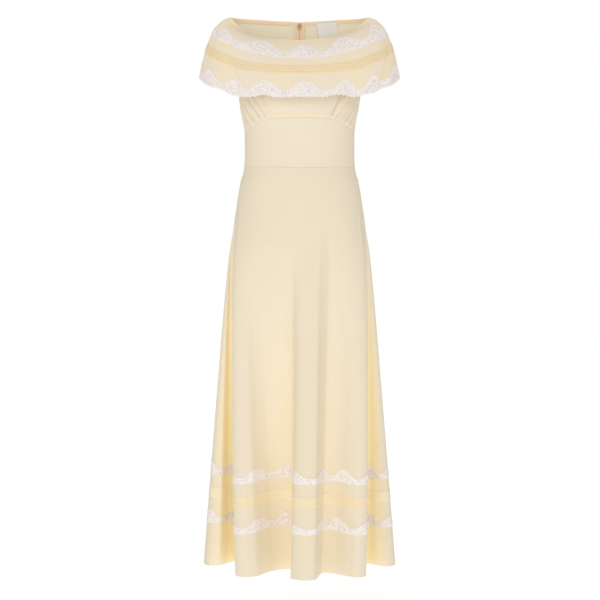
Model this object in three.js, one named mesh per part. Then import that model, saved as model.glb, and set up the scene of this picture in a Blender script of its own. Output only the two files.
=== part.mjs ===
// A maxi sundress, filled out as it is worn: a bateau neckline under a deep cape collar,
// a gathered bodice, a fitted midriff and an A-line skirt that hangs in flutes.
// Millimetres, +Z up, front towards -Y. The origin is the middle of the neck opening,
// at the height of the two shoulder corners, where the dress is worn.
import * as THREE from 'three';

// Driving sizes
const CLOTH = 1.2; // wall of the main cloth
const SEAM_GAP = 0.3; // space between two pieces that are sewn together
const LIFT = 0.5; // space between a panel and what is sewn onto it
const LACE = 1.0; // wall of the lace
const HEM_Z = -1205;
const SIDE = 90; // the side seam, in degrees round the body from the centre front
const BACK = 180; // the centre back
const SHELL_BLEND_Z = -172; // above this height the bodice leaves the body's sections
const NECK_LAYER = 3.4; // the bodice lies this far inside the cape collar at the neck
const NECK_AHEAD = 2; // how much more the neck edge faces ahead than away from the origin
const BODICE_AHEAD = 1.6; // the same for the bodice's gathers

// Sections of the body, from the shoulders to the waist seam, and down the skirt without its flutes
const BODY = [
  { z: 10, half: 150, front: 62, back: 80 },
  { z: -60, half: 142, front: 82, back: 84 },
  { z: -120, half: 137, front: 104, back: 85 },
  { z: -176, half: 133, front: 111, back: 84 },
  { z: -202, half: 129, front: 108, back: 82 },
  { z: -228, half: 124, front: 102, back: 80 },
  { z: -256, half: 120, front: 97, back: 78 },
  { z: -300, half: 120, front: 91, back: 77 },
  { z: -335, half: 122, front: 89, back: 79 },
  { z: -360, half: 129, front: 93, back: 85 },
  { z: -414, half: 138, front: 99, back: 95 },
  { z: -466, half: 146, front: 104, back: 103 },
  { z: -519, half: 155, front: 107, back: 108 },
  { z: -625, half: 166, front: 110, back: 112 },
  { z: -836, half: 184, front: 112, back: 115 },
  { z: -1047, half: 201, front: 112, back: 115 },
  { z: -1205, half: 213, front: 112, back: 115 },
];
const BODY_ROUNDNESS = 0.92; // 1 is an ellipse, less is squarer

// Heights of the two horizontal seams, round the body
const UNDERBUST = [
  { at: 0, z: -232 },
  { at: 26, z: -233 },
  { at: 45, z: -240 },
  { at: 60, z: -248 },
  { at: 75, z: -255 },
  { at: 90, z: -258 },
  { at: 180, z: -258 },
];
const WAIST = [
  { at: 0, z: -338 },
  { at: 90, z: -332 },
  { at: 180, z: -334 },
];
const UNDERBUST_BAND = 8.5; // the doubled band above the underbust seam
const WAIST_BAND = 7.5;

// Cape collar: a rib for each place from the centre front to the centre back,
// from the neck edge over the crown of the shoulder to the hem
const RIBS = [
  { at: 0, neck: [0, -65, -61], crown: [0, -103, -99], hem: [0, -131, -191] },
  { at: 21, neck: [46, -59, -58], crown: [56, -97, -90], hem: [64, -124, -190] },
  { at: 42, neck: [92, -41, -48.5], crown: [118, -76, -51], hem: [128, -97, -186] },
  { at: 60, neck: [122, -24, -35], crown: [158, -52, -26], hem: [172, -66, -166] },
  { at: 75, neck: [141, -11, -18], crown: [186, -24, -10], hem: [205, -32, -147] },
  { at: 90, neck: [154, 0, 0], crown: [199, 3, -4], hem: [220, 6, -129] },
  { at: 106, neck: [141, 25, 3], crown: [182, 42, -6], hem: [203, 50, -132] },
  { at: 124, neck: [115, 46, 5], crown: [148, 70, -12], hem: [166, 86, -135] },
  { at: 142, neck: [80, 63, 6.5], crown: [101, 88, -20], hem: [115, 108, -136] },
  { at: 160, neck: [42, 75, 6.5], crown: [53, 100, -27], hem: [60, 123, -137] },
  { at: 180, neck: [0, 80, 6], crown: [0, 106, -29], hem: [0, 129, -137] },
];
// How far the neck edge sits higher on one side than on the other
const NECK_TILT = [
  [-180, 0], [0, 0], [30, 3], [55, 6], [75, 4], [90, 0], [180, 0],
];
const COLLAR_STEP = 7.5; // degrees between the collar's columns
const COLLAR_LENGTH = 152; // from the neck edge down to the lace's hem
const COLLAR_ROWS = [0, 16, 44, 58, 76, 102, 118, 148]; // distances from the neck edge
// Soft creases of the collar: where, how wide in degrees, how deep, and where they start and end
const COLLAR_FOLDS = [
  { at: -74, to: -41, width: 5, depth: -5, from: 0.05 },
  { at: -38, to: -36, width: 9, depth: 3, from: 0.4 },
  { at: -14, to: -16, width: 10, depth: -3, from: 0.55 },
  { at: 34, to: 38, width: 8, depth: -4, from: 0.5 },
  { at: 94, to: 62, width: 4.5, depth: -5, from: 0.3 },
  { at: 112, to: 108, width: 8, depth: -4, from: 0.35 },
  { at: 148, to: 152, width: 10, depth: 4, from: 0.4 },
  { at: -106, to: -110, width: 8, depth: -4, from: 0.35 },
  { at: -146, to: -150, width: 10, depth: 4, from: 0.4 },
];

// Top edge of the bodice: the neck edge, whose place on the collar's ribs is neckAt,
// and between the shoulder corners the armhole
const NECK_MATCH = [
  { at: 0, neckAt: 0 },
  { at: 20, neckAt: 24 },
  { at: 40, neckAt: 50 },
  { at: 60, neckAt: 86 },
  { at: 120, neckAt: 94 },
  { at: 140, neckAt: 124 },
  { at: 160, neckAt: 152 },
  { at: 180, neckAt: 180 },
];
// Rows of the bodice: heights above the underbust seam up to the level row, and spread evenly
// from there to the top edge
const BODICE_LEVEL = 66;
const BODICE_FULL = 126;
const BODICE_ROWS = [0, 8.8, 22, 42, BODICE_LEVEL, 96, BODICE_FULL];
const SHOULDER_FRONT = 60;
const SHOULDER_BACK = 120;
const ARMHOLE = [
  { at: 60, x: 149, y: -3, z: -8 },
  { at: 66, x: 137, y: -30, z: -62 },
  { at: 76, x: 131, y: -36, z: -116 },
  { at: 90, x: 134, y: 0, z: -150 },
  { at: 104, x: 131, y: 34, z: -116 },
  { at: 114, x: 138, y: 28, z: -60 },
  { at: 120, x: 149, y: 6, z: -4 },
];
// Gathers of the bodice front: the foot of each on the seam, in degrees, and how deep it is
const GATHERS = [
  { foot: -74, depth: 1.8 },
  { foot: -65.5, depth: 2.6 },
  { foot: -54.5, depth: 3.2 },
  { foot: -43.5, depth: 3.6 },
  { foot: -35.3, depth: 3.2 },
  { foot: -30.2, depth: 2.6 },
  { foot: -24.5, depth: 1.2 },
  { foot: 25, depth: 1.2 },
  { foot: 33.4, depth: 2.6 },
  { foot: 38.3, depth: 2.8 },
  { foot: 42.2, depth: 2.8 },
  { foot: 46.2, depth: 2.8 },
  { foot: 53.5, depth: 3.2 },
  { foot: 64, depth: 2.4 },
];
const GATHER_HALF = 1.9; // half width of a gather, in degrees
const GATHER_VALLEY = 3; // degrees from a gather's foot to the valley beside it
const GATHER_RISE = 82; // a gather has died out this far above the seam
const GATHER_FULL = { low: 22, high: 30 }; // heights above the seam between which it is at its deepest
// How far the cloth leans outwards, in degrees, where it is LEAN_AT above the underbust seam
const LEAN = [
  [0, 0], [20, 1], [26, 4], [32, 10], [38, 13.5], [49, 14.5], [60, 13], [76, 6],
  [90, 0], [180, 0],
];
const LEAN_AT = 46;
const LEAN_FULL = 58; // above this height the lean dies out
const LEAN_END = 110;
// Columns of the bodice front away from its gathers
const BODICE_PLAIN = [-90, -82, -61, -59, -20, -12, -4, 4, 12, 18, 59, 70, 77, 84, 90];
const BODICE_BACK_COLUMNS = [SIDE, 98, 106, 114, 120, 130, 140, 150, 160, 170, BACK];

// Flutes of the skirt: where each place hangs from the waist, where it is at the hem, the share
// of the skirt's length at which it leaves the plain section, and the power of its way sideways
const FLUTES = [
  { at: -180, x: 4, y: 139, start: 0.3, swing: 1 },
  { at: -173, x: -16, y: 150, start: 0.25, swing: 1 },
  { at: -165, x: -38, y: 137, start: 0.25, swing: 1 },
  { at: -157, x: -50, y: 98, start: 0.3, swing: 1 },
  { at: -149, x: -64, y: 80, start: 0.3, swing: 1 },
  { at: -141, x: -84, y: 94, start: 0.25, swing: 1 },
  { at: -133, x: -104, y: 128, start: 0.2, swing: 1 },
  { at: -125, x: -126, y: 132, start: 0.2, swing: 1 },
  { at: -117, x: -143, y: 106, start: 0.25, swing: 1 },
  { at: -110, x: -158, y: 78, start: 0.25, swing: 1 },
  { at: -104, x: -184, y: 84, start: 0.2, swing: 1 },
  { at: -98, x: -207, y: 78, start: 0.15, swing: 1 },
  { at: -94, x: -213, y: 40, start: 0.12, swing: 1 },
  { at: -90, x: -200, y: 4, start: 0.12, swing: 1 },
  { at: -86.5, x: -178, y: 4, start: 0.12, swing: 1.2 },
  { at: -82.5, x: -158, y: 40, start: 0.1, swing: 1.15 },
  { at: -79, x: -144, y: 50, start: 0.1, swing: 1.1 },
  { at: -76, x: -139, y: 8, start: 0.1, swing: 1.05 },
  { at: -72, x: -137.5, y: -56, start: 0.1, swing: 1.1 },
  { at: -67, x: -135.5, y: -104, start: 0.1, swing: 1.3 },
  { at: -59, x: -116, y: -122, start: 0.15, swing: 1.2 },
  { at: -50, x: -92, y: -113, start: 0.18, swing: 1.1 },
  { at: -41, x: -72, y: -76, start: 0.2, swing: 1 },
  { at: -32, x: -52, y: -48, start: 0.2, swing: 1 },
  { at: -20, x: -34, y: -37, start: 0.2, swing: 1 },
  { at: -10, x: -21, y: -35, start: 0.2, swing: 1 },
  { at: -4.5, x: -14, y: -50, start: 0.2, swing: 1 },
  { at: -2, x: -15, y: -92, start: 0.2, swing: 1 },
  { at: 1, x: -18.5, y: -130, start: 0.2, swing: 1 },
  { at: 5, x: -6, y: -150, start: 0.2, swing: 1 },
  { at: 9, x: 12, y: -157, start: 0.2, swing: 1 },
  { at: 13, x: 31, y: -151, start: 0.18, swing: 1 },
  { at: 17.5, x: 40, y: -114, start: 0.14, swing: 1 },
  { at: 25, x: 49, y: -75, start: 0.12, swing: 1 },
  { at: 37, x: 74, y: -84, start: 0.12, swing: 1 },
  { at: 47, x: 100, y: -110, start: 0.15, swing: 1 },
  { at: 57, x: 121, y: -125, start: 0.15, swing: 1.2 },
  { at: 66, x: 140.5, y: -108, start: 0.1, swing: 1.35 },
  { at: 71.5, x: 142, y: -56, start: 0.1, swing: 1.12 },
  { at: 76, x: 143.5, y: -4, start: 0.1, swing: 1.05 },
  { at: 80, x: 152, y: 26, start: 0.1, swing: 1.1 },
  { at: 85, x: 172, y: 6, start: 0.12, swing: 1.2 },
  { at: 90, x: 194, y: -5, start: 0.12, swing: 1 },
  { at: 94.5, x: 210, y: 12, start: 0.12, swing: 1 },
  { at: 99, x: 213, y: 52, start: 0.15, swing: 1 },
  { at: 105, x: 200, y: 88, start: 0.2, swing: 1 },
  { at: 112, x: 178, y: 94, start: 0.25, swing: 1 },
  { at: 119, x: 158, y: 76, start: 0.25, swing: 1 },
  { at: 127, x: 138, y: 90, start: 0.2, swing: 1 },
  { at: 135, x: 116, y: 128, start: 0.2, swing: 1 },
  { at: 143, x: 92, y: 136, start: 0.25, swing: 1 },
  { at: 151, x: 72, y: 106, start: 0.3, swing: 1 },
  { at: 158, x: 58, y: 82, start: 0.3, swing: 1 },
  { at: 166, x: 40, y: 88, start: 0.3, swing: 1 },
  { at: 173, x: 22, y: 118, start: 0.3, swing: 1 },
  { at: 180, x: 4, y: 139, start: 0.3, swing: 1 },
];
const FLUTE_GROWTH = 0.85; // the power at which a flute grows forwards or backwards
const FLUTE_MAX_STEP = 8.5; // degrees; a wider step between two flute rows gets a column between
const SKIRT_ROWS = [0, 45, 110, 200, 330, 480, 636, 674, 700, 724, 780, 870]; // below the waist seam

// Trims: distances from the collar's neck edge, and from the skirt's waist seam
const COLLAR_TRIMS = {
  laceUpper: { peak: 20, valley: 42.5, low: 58 },
  tucks: { from: 76.5, pitch: 4 },
  laceLower: { peak: 116, valley: 138, low: 152 },
};
const SKIRT_TRIMS = {
  laceUpper: { peak: 644, valley: 661, low: 673 },
  tucks: { from: 700.5, pitch: 4.3 },
  laceLower: { peak: 749, valley: 766, low: 778 },
};
// How far the trims lie above their level, round the body: on the skirt, and the collar's upper lace
const SKIRT_RISE = [
  [-180, 0], [-105, 1], [-90, 2.5], [-80, 2], [-67, -4], [-59, -3], [-50, -1],
  [-41, 2.5], [-30, 5], [-22, 6], [-6, 5], [0, 1.5], [20, 1], [37, 0],
  [50, -4], [62, -5], [72, -5], [82, -7], [92, -7], [104, -4], [120, 0],
  [180, 0],
];
const COLLAR_RISE = [
  [-180, 0], [-95, 0], [-75, 2], [-56, 4], [-35, 3], [-15, 0],
  [15, 0], [35, 2], [56, 3], [95, 0], [180, 0],
];
const TRIM_ENDS = 0.4; // degrees from the centre back at which trims end
const BAND_ENDS = 0.2; // degrees from the side seams at which the underbust band ends
const TUCKS = 5;
const TUCK_FOLD = 0.86; // share of a tuck's pitch that its fold covers
const TUCK_RISE = 1.2; // how far a fold stands out of the band
const TUCK_WEB = 0.7; // thickness between the folds
// Peaks of the laces, round the collar and round the waist: the place of each in degrees,
// and its height as a share of the full one
const COLLAR_LACE_UPPER = [
  [-180, 1], [-150, 1], [-122, 1], [-99, 1], [-73, 0.7], [-29.5, 1.13], [3, 1],
  [36.5, 1.13], [75, 1.15], [97, 1], [123, 1], [151, 1], [180, 1],
];
const COLLAR_LACE_LOWER = [
  [-180, 1], [-156, 1], [-132, 1], [-110, 1], [-91, 0.9], [-73, 0.85], [-45, 1],
  [-25, 1], [3.5, 1], [33.5, 1], [54, 0.85], [80, 0.85], [97, 0.9], [114, 1],
  [135, 1], [157, 1], [180, 1],
];
const SKIRT_LACE_UPPER = [
  [-180, 1], [-167, 1], [-152, 1], [-139, 1], [-127, 1], [-114, 1], [-104, 1],
  [-93, 1.1], [-79, 0.6], [-68, 0.4], [-48, 0.85], [-9.5, 1.15], [0.5, 0.9], [21, 0.9],
  [43, 0.95], [67, 0.6], [82, 1], [93, 0.6], [105, 1], [117, 1], [129, 1],
  [141, 1], [154, 1], [168, 1], [180, 1],
];
const SKIRT_LACE_LOWER = [
  [-180, 1], [-167, 1], [-152, 1], [-139, 1], [-127, 1], [-114, 1], [-104, 1],
  [-91, 1], [-79, 0.5], [-68, 0.4], [-48, 0.9], [-12, 1.15], [0, 0.6], [19.5, 0.7],
  [38, 1], [65, 0.8], [80, 1], [93, 0.6], [105, 1], [117, 1], [129, 1],
  [141, 1], [154, 1], [168, 1], [180, 1],
];
const LACE_SHARPNESS = 1.15; // 1 is a plain cosine wave, more gives narrower peaks
const COLLAR_LACE_LIFT = 0.8; // space under the collar's laces, over its curved ribs
const LACE_PARTS = 2; // columns of a lace for each column of the sheet under it

// Neck binding, label, zip, and the zip's slider with its pull tab
const BINDING = { tall: 8, wall: 0.8, lift: 0.45, ends: 168 };
const LABEL = { from: 151, to: 167, top: 1.5, tall: 42, wall: 0.6 };
const ZIP = { to: 14, wall: 0.8, coil: 1.1, coilEdge: 1.5, coilWall: 1.2, rows: 3 };
const SLIDER = { half: 3, low: -5, high: -0.4, face: 72, back: 74.2, bevel: 0.8, gap: 0.1 };
const BRIDGE = { half: 1, wall: 1.05, clear: 1.25, tip: -0.6 };
const HINGE = { y: 71.2, z: 1.9 };
const TAB = { half: 4.6, long: 12.6, wire: 1.4, thick: 1, bar: 0.7, shoulder: 0.74, turns: 10 };

const COLOURS = {
  cloth: 0xf3e4c4,
  doubled: 0xf3dcae,
  lace: 0xefe4dc,
  binding: 0xf1dcb8,
  label: 0xdddacd,
  brass: 0x8a6a45,
};
const cloth = () => new THREE.MeshStandardMaterial({ color: COLOURS.cloth, roughness: 0.85 });
const doubled = () => new THREE.MeshStandardMaterial({ color: COLOURS.doubled, roughness: 0.85 });
const lace = () => new THREE.MeshStandardMaterial({ color: COLOURS.lace, roughness: 0.9 });
const tape = () => new THREE.MeshStandardMaterial({ color: COLOURS.binding, roughness: 0.8 });
const satin = () => new THREE.MeshStandardMaterial({ color: COLOURS.label, roughness: 0.6 });
const brass = () => new THREE.MeshStandardMaterial({ color: COLOURS.brass, roughness: 0.35, metalness: 1 });

const group = new THREE.Group();

function addPiece(name, geometry, material) {
  const mesh = new THREE.Mesh(geometry, material);
  mesh.name = name;
  group.add(mesh);
  return mesh;
}

// Curves through a table

// A smooth curve through one column of a table that never swings past its rows
function track(rows, key, column) {
  const xs = rows.map((row) => row[key]);
  const ys = rows.map(column);
  const last = xs.length - 1;
  const slopes = xs.slice(1).map((x, i) => (ys[i + 1] - ys[i]) / (x - xs[i]));
  const tangents = xs.map((x, i) => {
    if (i === 0) return slopes[0];
    if (i === last) return slopes[last - 1];
    const product = slopes[i - 1] * slopes[i];
    return product <= 0 ? 0 : (2 * product) / (slopes[i - 1] + slopes[i]);
  });
  return (x) => {
    const rising = xs[last] > xs[0];
    let i = xs.findIndex((edge, k) => k > 0 && (rising ? x <= edge : x >= edge)) - 1;
    if (i < 0) i = rising === x > xs[0] ? last - 1 : 0;
    const step = xs[i + 1] - xs[i];
    const t = THREE.MathUtils.clamp((x - xs[i]) / step, 0, 1);
    const t2 = t * t;
    const t3 = t2 * t;
    return (
      ys[i] * (2 * t3 - 3 * t2 + 1) +
      tangents[i] * step * (t3 - 2 * t2 + t) +
      ys[i + 1] * (3 * t2 - 2 * t3) +
      tangents[i + 1] * step * (t3 - t2)
    );
  };
}

const smooth = (x, low, high) => THREE.MathUtils.smoothstep(x, low, high);
const bell = (x, width) => Math.exp(-((x / width) ** 2));

// The body's sections

const bodyHalf = track(BODY, 'z', (row) => row.half);
const bodyFront = track(BODY, 'z', (row) => row.front);
const bodyBack = track(BODY, 'z', (row) => row.back);

function bodyPoint(at, z) {
  const angle = THREE.MathUtils.degToRad(at);
  const across = Math.sin(angle);
  const ahead = Math.cos(angle);
  const deep = ahead > 0 ? bodyFront(z) : bodyBack(z);
  return new THREE.Vector3(
    bodyHalf(z) * Math.sign(across) * Math.abs(across) ** BODY_ROUNDNESS,
    -deep * Math.sign(ahead) * Math.abs(ahead) ** BODY_ROUNDNESS,
    z,
  );
}

const underbustTrack = track(UNDERBUST, 'at', (row) => row.z);
const waistTrack = track(WAIST, 'at', (row) => row.z);
const underbustZ = (at) => underbustTrack(Math.abs(at));
const waistZ = (at) => waistTrack(Math.abs(at));

// The collar's surface

const ribTrack = (edge, axis) => track(RIBS, 'at', (row) => row[edge][axis]);
const ribTracks = Object.fromEntries(
  ['neck', 'crown', 'hem'].map((edge) => [edge, [0, 1, 2].map((axis) => ribTrack(edge, axis))]),
);

const neckTilt = track(NECK_TILT, 0, (row) => row[1]);

function ribPoint(edge, at) {
  const [x, y, z] = ribTracks[edge].map((column) => column(Math.abs(at)));
  const tilt = edge === 'neck' ? neckTilt(at) : 0;
  return new THREE.Vector3(at < 0 ? -x : x, y, z + tilt);
}

function collarPoint(at, share) {
  const [neck, crown, hem] = ['neck', 'crown', 'hem'].map((edge) => ribPoint(edge, at));
  const rib = new THREE.QuadraticBezierCurve3(neck, crown, hem);
  const point = rib.getPointAt(share);
  const outward = new THREE.Vector3(point.x, point.y, 0).normalize();
  for (const fold of COLLAR_FOLDS) {
    const place = THREE.MathUtils.lerp(fold.at, fold.to, share);
    const depth = fold.depth * bell(at - place, fold.width) * smooth(share, fold.from, 1);
    point.addScaledVector(outward, depth);
  }
  return point;
}

// The bodice's surface, from the underbust seam up to the neck edge and the armholes

const neckMatch = track(NECK_MATCH, 'at', (row) => row.neckAt);
const armhole = ['x', 'y', 'z'].map((axis) => track(ARMHOLE, 'at', (row) => row[axis]));

const leanTrack = track(LEAN, 0, (row) => row[1]);

function bodiceTop(at) {
  const place = Math.abs(at);
  if (place > SHOULDER_FRONT && place < SHOULDER_BACK) {
    const [x, y, z] = armhole.map((column) => column(place));
    return new THREE.Vector3(Math.sign(at) * x, y, z);
  }
  const neck = ribPoint('neck', Math.sign(at) * neckMatch(place));
  const inward = new THREE.Vector3(-neck.x, -neck.y * NECK_AHEAD, 0).normalize();
  return neck.addScaledVector(inward, NECK_LAYER);
}

function bodicePoint(foot, row) {
  const spread = Math.max(0, row - BODICE_LEVEL) / (BODICE_FULL - BODICE_LEVEL);
  const level = Math.min(row, BODICE_LEVEL);
  const tall = bodiceTop(foot).z - underbustZ(foot);
  const height = THREE.MathUtils.lerp(level, tall, spread);
  const lean = (Math.sign(foot) * leanTrack(Math.abs(foot)) * height) / LEAN_AT;
  const at = foot + lean * (1 - smooth(height, LEAN_FULL, LEAN_END));
  const top = bodiceTop(at);
  const z = THREE.MathUtils.lerp(underbustZ(at) + level, top.z, spread);
  const point = bodyPoint(at, z);
  const leave = smooth(z, SHELL_BLEND_Z, top.z);
  point.lerp(new THREE.Vector3(top.x, top.y, z), leave);
  const outward = new THREE.Vector3(point.x, point.y * BODICE_AHEAD, 0).normalize();
  const grown = smooth(height, UNDERBUST_BAND, GATHER_FULL.low);
  const fade = grown * (1 - smooth(height, GATHER_FULL.high, GATHER_RISE));
  for (const gather of GATHERS) {
    point.addScaledVector(outward, gather.depth * bell(foot - gather.foot, GATHER_HALF) * fade);
  }
  return point;
}

// The skirt's surface: the body's sections, and straight lines out to the fluted hem

const fluteX = track(FLUTES, 'at', (row) => row.x);
const fluteY = track(FLUTES, 'at', (row) => row.y);
const fluteStart = track(FLUTES, 'at', (row) => row.start);
const fluteSwing = track(FLUTES, 'at', (row) => row.swing);

function skirtPoint(at, below) {
  const top = waistZ(at);
  const share = below / SKIRT_ROWS[SKIRT_ROWS.length - 1];
  const point = bodyPoint(at, THREE.MathUtils.lerp(top, HEM_Z, share));
  const hem = bodyPoint(at, HEM_Z);
  const start = fluteStart(at);
  const grown = THREE.MathUtils.clamp((share - start) / (1 - start), 0, 1);
  point.x += (fluteX(at) - hem.x) * grown ** fluteSwing(at);
  point.y += (fluteY(at) - hem.y) * grown ** FLUTE_GROWTH;
  return point;
}

// Walls

// A sheet of points, column by column, with the way out of the garment at each point
class Sheet {
  constructor(columns, rows, pointAt) {
    this.columns = columns;
    this.rows = rows;
    this.middle = columns.map((at) => rows.map((row) => pointAt(at, row)));
    this.out = this.middle[0][rows.length - 1].z > this.middle[0][0].z ? 1 : -1;
    this.normals = this.middle.map((line, i) => line.map((point, j) => this.normalAt(i, j)));
    this.outer = this.moved(CLOTH / 2);
    this.inner = this.moved(-CLOTH / 2);
  }

  normalAt(i, j) {
    const grid = this.middle;
    const lastColumn = grid.length - 1;
    const lastRow = grid[0].length - 1;
    const closed = grid[0][0].distanceTo(grid[lastColumn][0]) < 1e-6;
    const left = i > 0 ? i - 1 : closed ? lastColumn - 1 : 0;
    const right = i < lastColumn ? i + 1 : closed ? 1 : lastColumn;
    const across = new THREE.Vector3();
    const sides = [[grid[i][j], grid[left][j]], [grid[right][j], grid[i][j]]];
    for (const [ahead, behind] of sides) {
      const step = ahead.clone().sub(behind);
      if (step.lengthSq() > 1e-9) across.add(step.normalize());
    }
    const along = grid[i][Math.min(j + 1, lastRow)].clone().sub(grid[i][Math.max(j - 1, 0)]);
    return across.cross(along).normalize().multiplyScalar(this.out);
  }

  moved(distance) {
    return this.middle.map((line, i) => line.map((point, j) => this.shift(point, i, j, distance)));
  }

  shift(point, i, j, distance) {
    return point.clone().addScaledVector(this.normals[i][j], distance);
  }

  // A point of the outer face, in columns and rows with their parts, moved out or in
  onFace(side, i, j, distance) {
    const ci = THREE.MathUtils.clamp(Math.floor(i), 0, this.columns.length - 2);
    const cj = THREE.MathUtils.clamp(Math.floor(j), 0, this.rows.length - 2);
    const fx = i - ci;
    const fy = j - cj;
    const blend = (grid) => {
      const low = grid[ci][cj];
      const high = grid[ci + 1][cj + 1];
      const corner = fx >= fy ? grid[ci + 1][cj] : grid[ci][cj + 1];
      const [first, second] = fx >= fy ? [fx, fy] : [fy, fx];
      return low
        .clone()
        .addScaledVector(corner.clone().sub(low), first)
        .addScaledVector(high.clone().sub(corner), second);
    };
    return blend(this[side]).addScaledVector(blend(this.normals).normalize(), distance);
  }

  columnOf(at) {
    return placeIn(this.columns, at);
  }

  rowOf(row) {
    return placeIn(this.rows, row);
  }
}

// Where a value lies in a rising or falling list, counted in its steps
function placeIn(list, value) {
  const rising = list[list.length - 1] > list[0];
  let i = list.findIndex((edge, k) => k > 0 && (rising ? value <= edge : value >= edge)) - 1;
  if (i < 0) i = list.length - 2;
  return i + (value - list[i]) / (list[i + 1] - list[i]);
}

// A closed solid through loops of points, each loop with the same count, whose two ends are
// closed by the same triangles, given in the loop's order. The first points of a loop are its
// outer face, and the faces after them are cut on the other diagonal, so that they lie parallel
function loft(loops, outerCount, cap) {
  const size = loops[0].length;
  const points = loops.flat();
  const index = [];
  for (let i = 0; i < loops.length - 1; i += 1) {
    for (let k = 0; k < size; k += 1) {
      const next = (k + 1) % size;
      const [a, b, c, d] = [i * size + k, (i + 1) * size + k, (i + 1) * size + next, i * size + next];
      if (k < outerCount - 1) index.push(a, b, c, a, c, d);
      else index.push(a, b, d, b, c, d);
    }
  }
  const lastLoop = (loops.length - 1) * size;
  for (const [a, b, c] of cap) index.push(a, b, c, lastLoop + c, lastLoop + b, lastLoop + a);
  return closedGeometry(points, index);
}

function closedGeometry(points, index) {
  let volume = 0;
  for (let k = 0; k < index.length; k += 3) {
    const [a, b, c] = [points[index[k]], points[index[k + 1]], points[index[k + 2]]];
    volume += a.dot(b.clone().cross(c));
  }
  if (volume < 0) index.reverse();
  const geometry = new THREE.BufferGeometry();
  geometry.setAttribute('position', new THREE.Float32BufferAttribute(points.flatMap((p) => p.toArray()), 3));
  geometry.setIndex(index);
  return geometry;
}

// The wall between two grids of points that lie face to face
function wallBetween(outer, inner) {
  const loops = outer.map((line, i) => [...line, ...[...inner[i]].reverse()]);
  const rows = outer[0].length;
  const cap = [];
  for (let j = 0; j < rows - 1; j += 1) {
    const across = 2 * rows - 1 - j;
    cap.push([j, j + 1, across - 1], [j, across - 1, across]);
  }
  return loft(loops, rows, cap);
}

// The wall of a sheet between two places round it, held back from its seams by half a gap
function panel(sheet, from, to) {
  const first = sheet.columns.findIndex((at) => at >= from - 1e-6);
  const last = sheet.columns.findLastIndex((at) => at <= to + 1e-6);
  const cut = (grid) => {
    const lines = grid.slice(first, last + 1).map((line) => line.map((point) => point.clone()));
    holdBack(lines[0], lines[1]);
    holdBack(lines[lines.length - 1], lines[lines.length - 2]);
    return lines;
  };
  return wallBetween(cut(sheet.outer), cut(sheet.inner));
}

function holdBack(edge, neighbour) {
  edge.forEach((point, j) => {
    const inward = neighbour[j].clone().sub(point).normalize();
    point.addScaledVector(inward, SEAM_GAP / 2);
  });
}

// A band that lies on a sheet: at each column its edges are two or more rows
function bandOn(sheet, columns, rowsAt, { side = 'outer', lift = LIFT, wall = LACE } = {}) {
  const way = side === 'outer' ? 1 : -1;
  const grid = (distance) =>
    columns.map((at) =>
      rowsAt(at).map((row) => sheet.onFace(side, sheet.columnOf(at), sheet.rowOf(row), way * distance)),
    );
  return wallBetween(grid(lift + wall), grid(lift));
}

// A band of tucks: folds that lie down one over the other on a thin web
function tuckedOn(sheet, columns, { from, pitch }, riseAt = () => 0) {
  const profile = [];
  for (let k = 0; k < TUCKS; k += 1) {
    profile.push([from + k * pitch, TUCK_WEB]);
    profile.push([from + (k + TUCK_FOLD) * pitch, TUCK_RISE]);
  }
  profile.push([from + TUCKS * pitch, TUCK_WEB]);
  profile.push([from + TUCKS * pitch, 0], [from, 0]);
  const loops = columns.map((at) =>
    profile.map(([row, lift]) =>
      sheet.onFace('outer', sheet.columnOf(at), sheet.rowOf(row - riseAt(at)), LIFT + lift),
    ),
  );
  const outline = profile.map(([row, lift]) => new THREE.Vector2(row, lift));
  const cap = THREE.ShapeUtils.triangulateShape(outline, []);
  if (THREE.ShapeUtils.isClockWise(outline)) cap.forEach((triangle) => triangle.reverse());
  return loft(loops, profile.length - 2, cap);
}

// Every column of a sheet between two places, each step cut into parts
function columnsOf(sheet, from, to, parts) {
  const inside = sheet.columns.filter((at) => at > from + 0.5 && at < to - 0.5);
  const edges = [from, ...inside, to];
  const columns = [];
  for (let i = 0; i < edges.length - 1; i += 1) {
    for (let k = 0; k < parts; k += 1) columns.push(edges[i] + ((edges[i + 1] - edges[i]) * k) / parts);
  }
  return [...columns, to];
}

// How high the lace's wave stands at a place: full on a peak, 0 half way to the next
function wave(peaks, at) {
  const place = placeIn(peaks.map(([peak]) => peak), at);
  return peaks[Math.round(place)][1] * (0.5 + 0.5 * Math.cos(2 * Math.PI * place)) ** LACE_SHARPNESS;
}

// The row of a lace's upper edge at a place
function laceTop(trim, peaks, at) {
  return THREE.MathUtils.lerp(trim.valley, trim.peak, wave(peaks, at));
}

const skirtRise = track(SKIRT_RISE, 0, (row) => row[1]);
const collarRise = track(COLLAR_RISE, 0, (row) => row[1]);

// Pieces

function evenColumns(step, extra = []) {
  const columns = new Set(extra);
  for (let at = -BACK; at <= BACK + 1e-6; at += step) columns.add(at);
  return [...columns].sort((a, b) => a - b);
}

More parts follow.
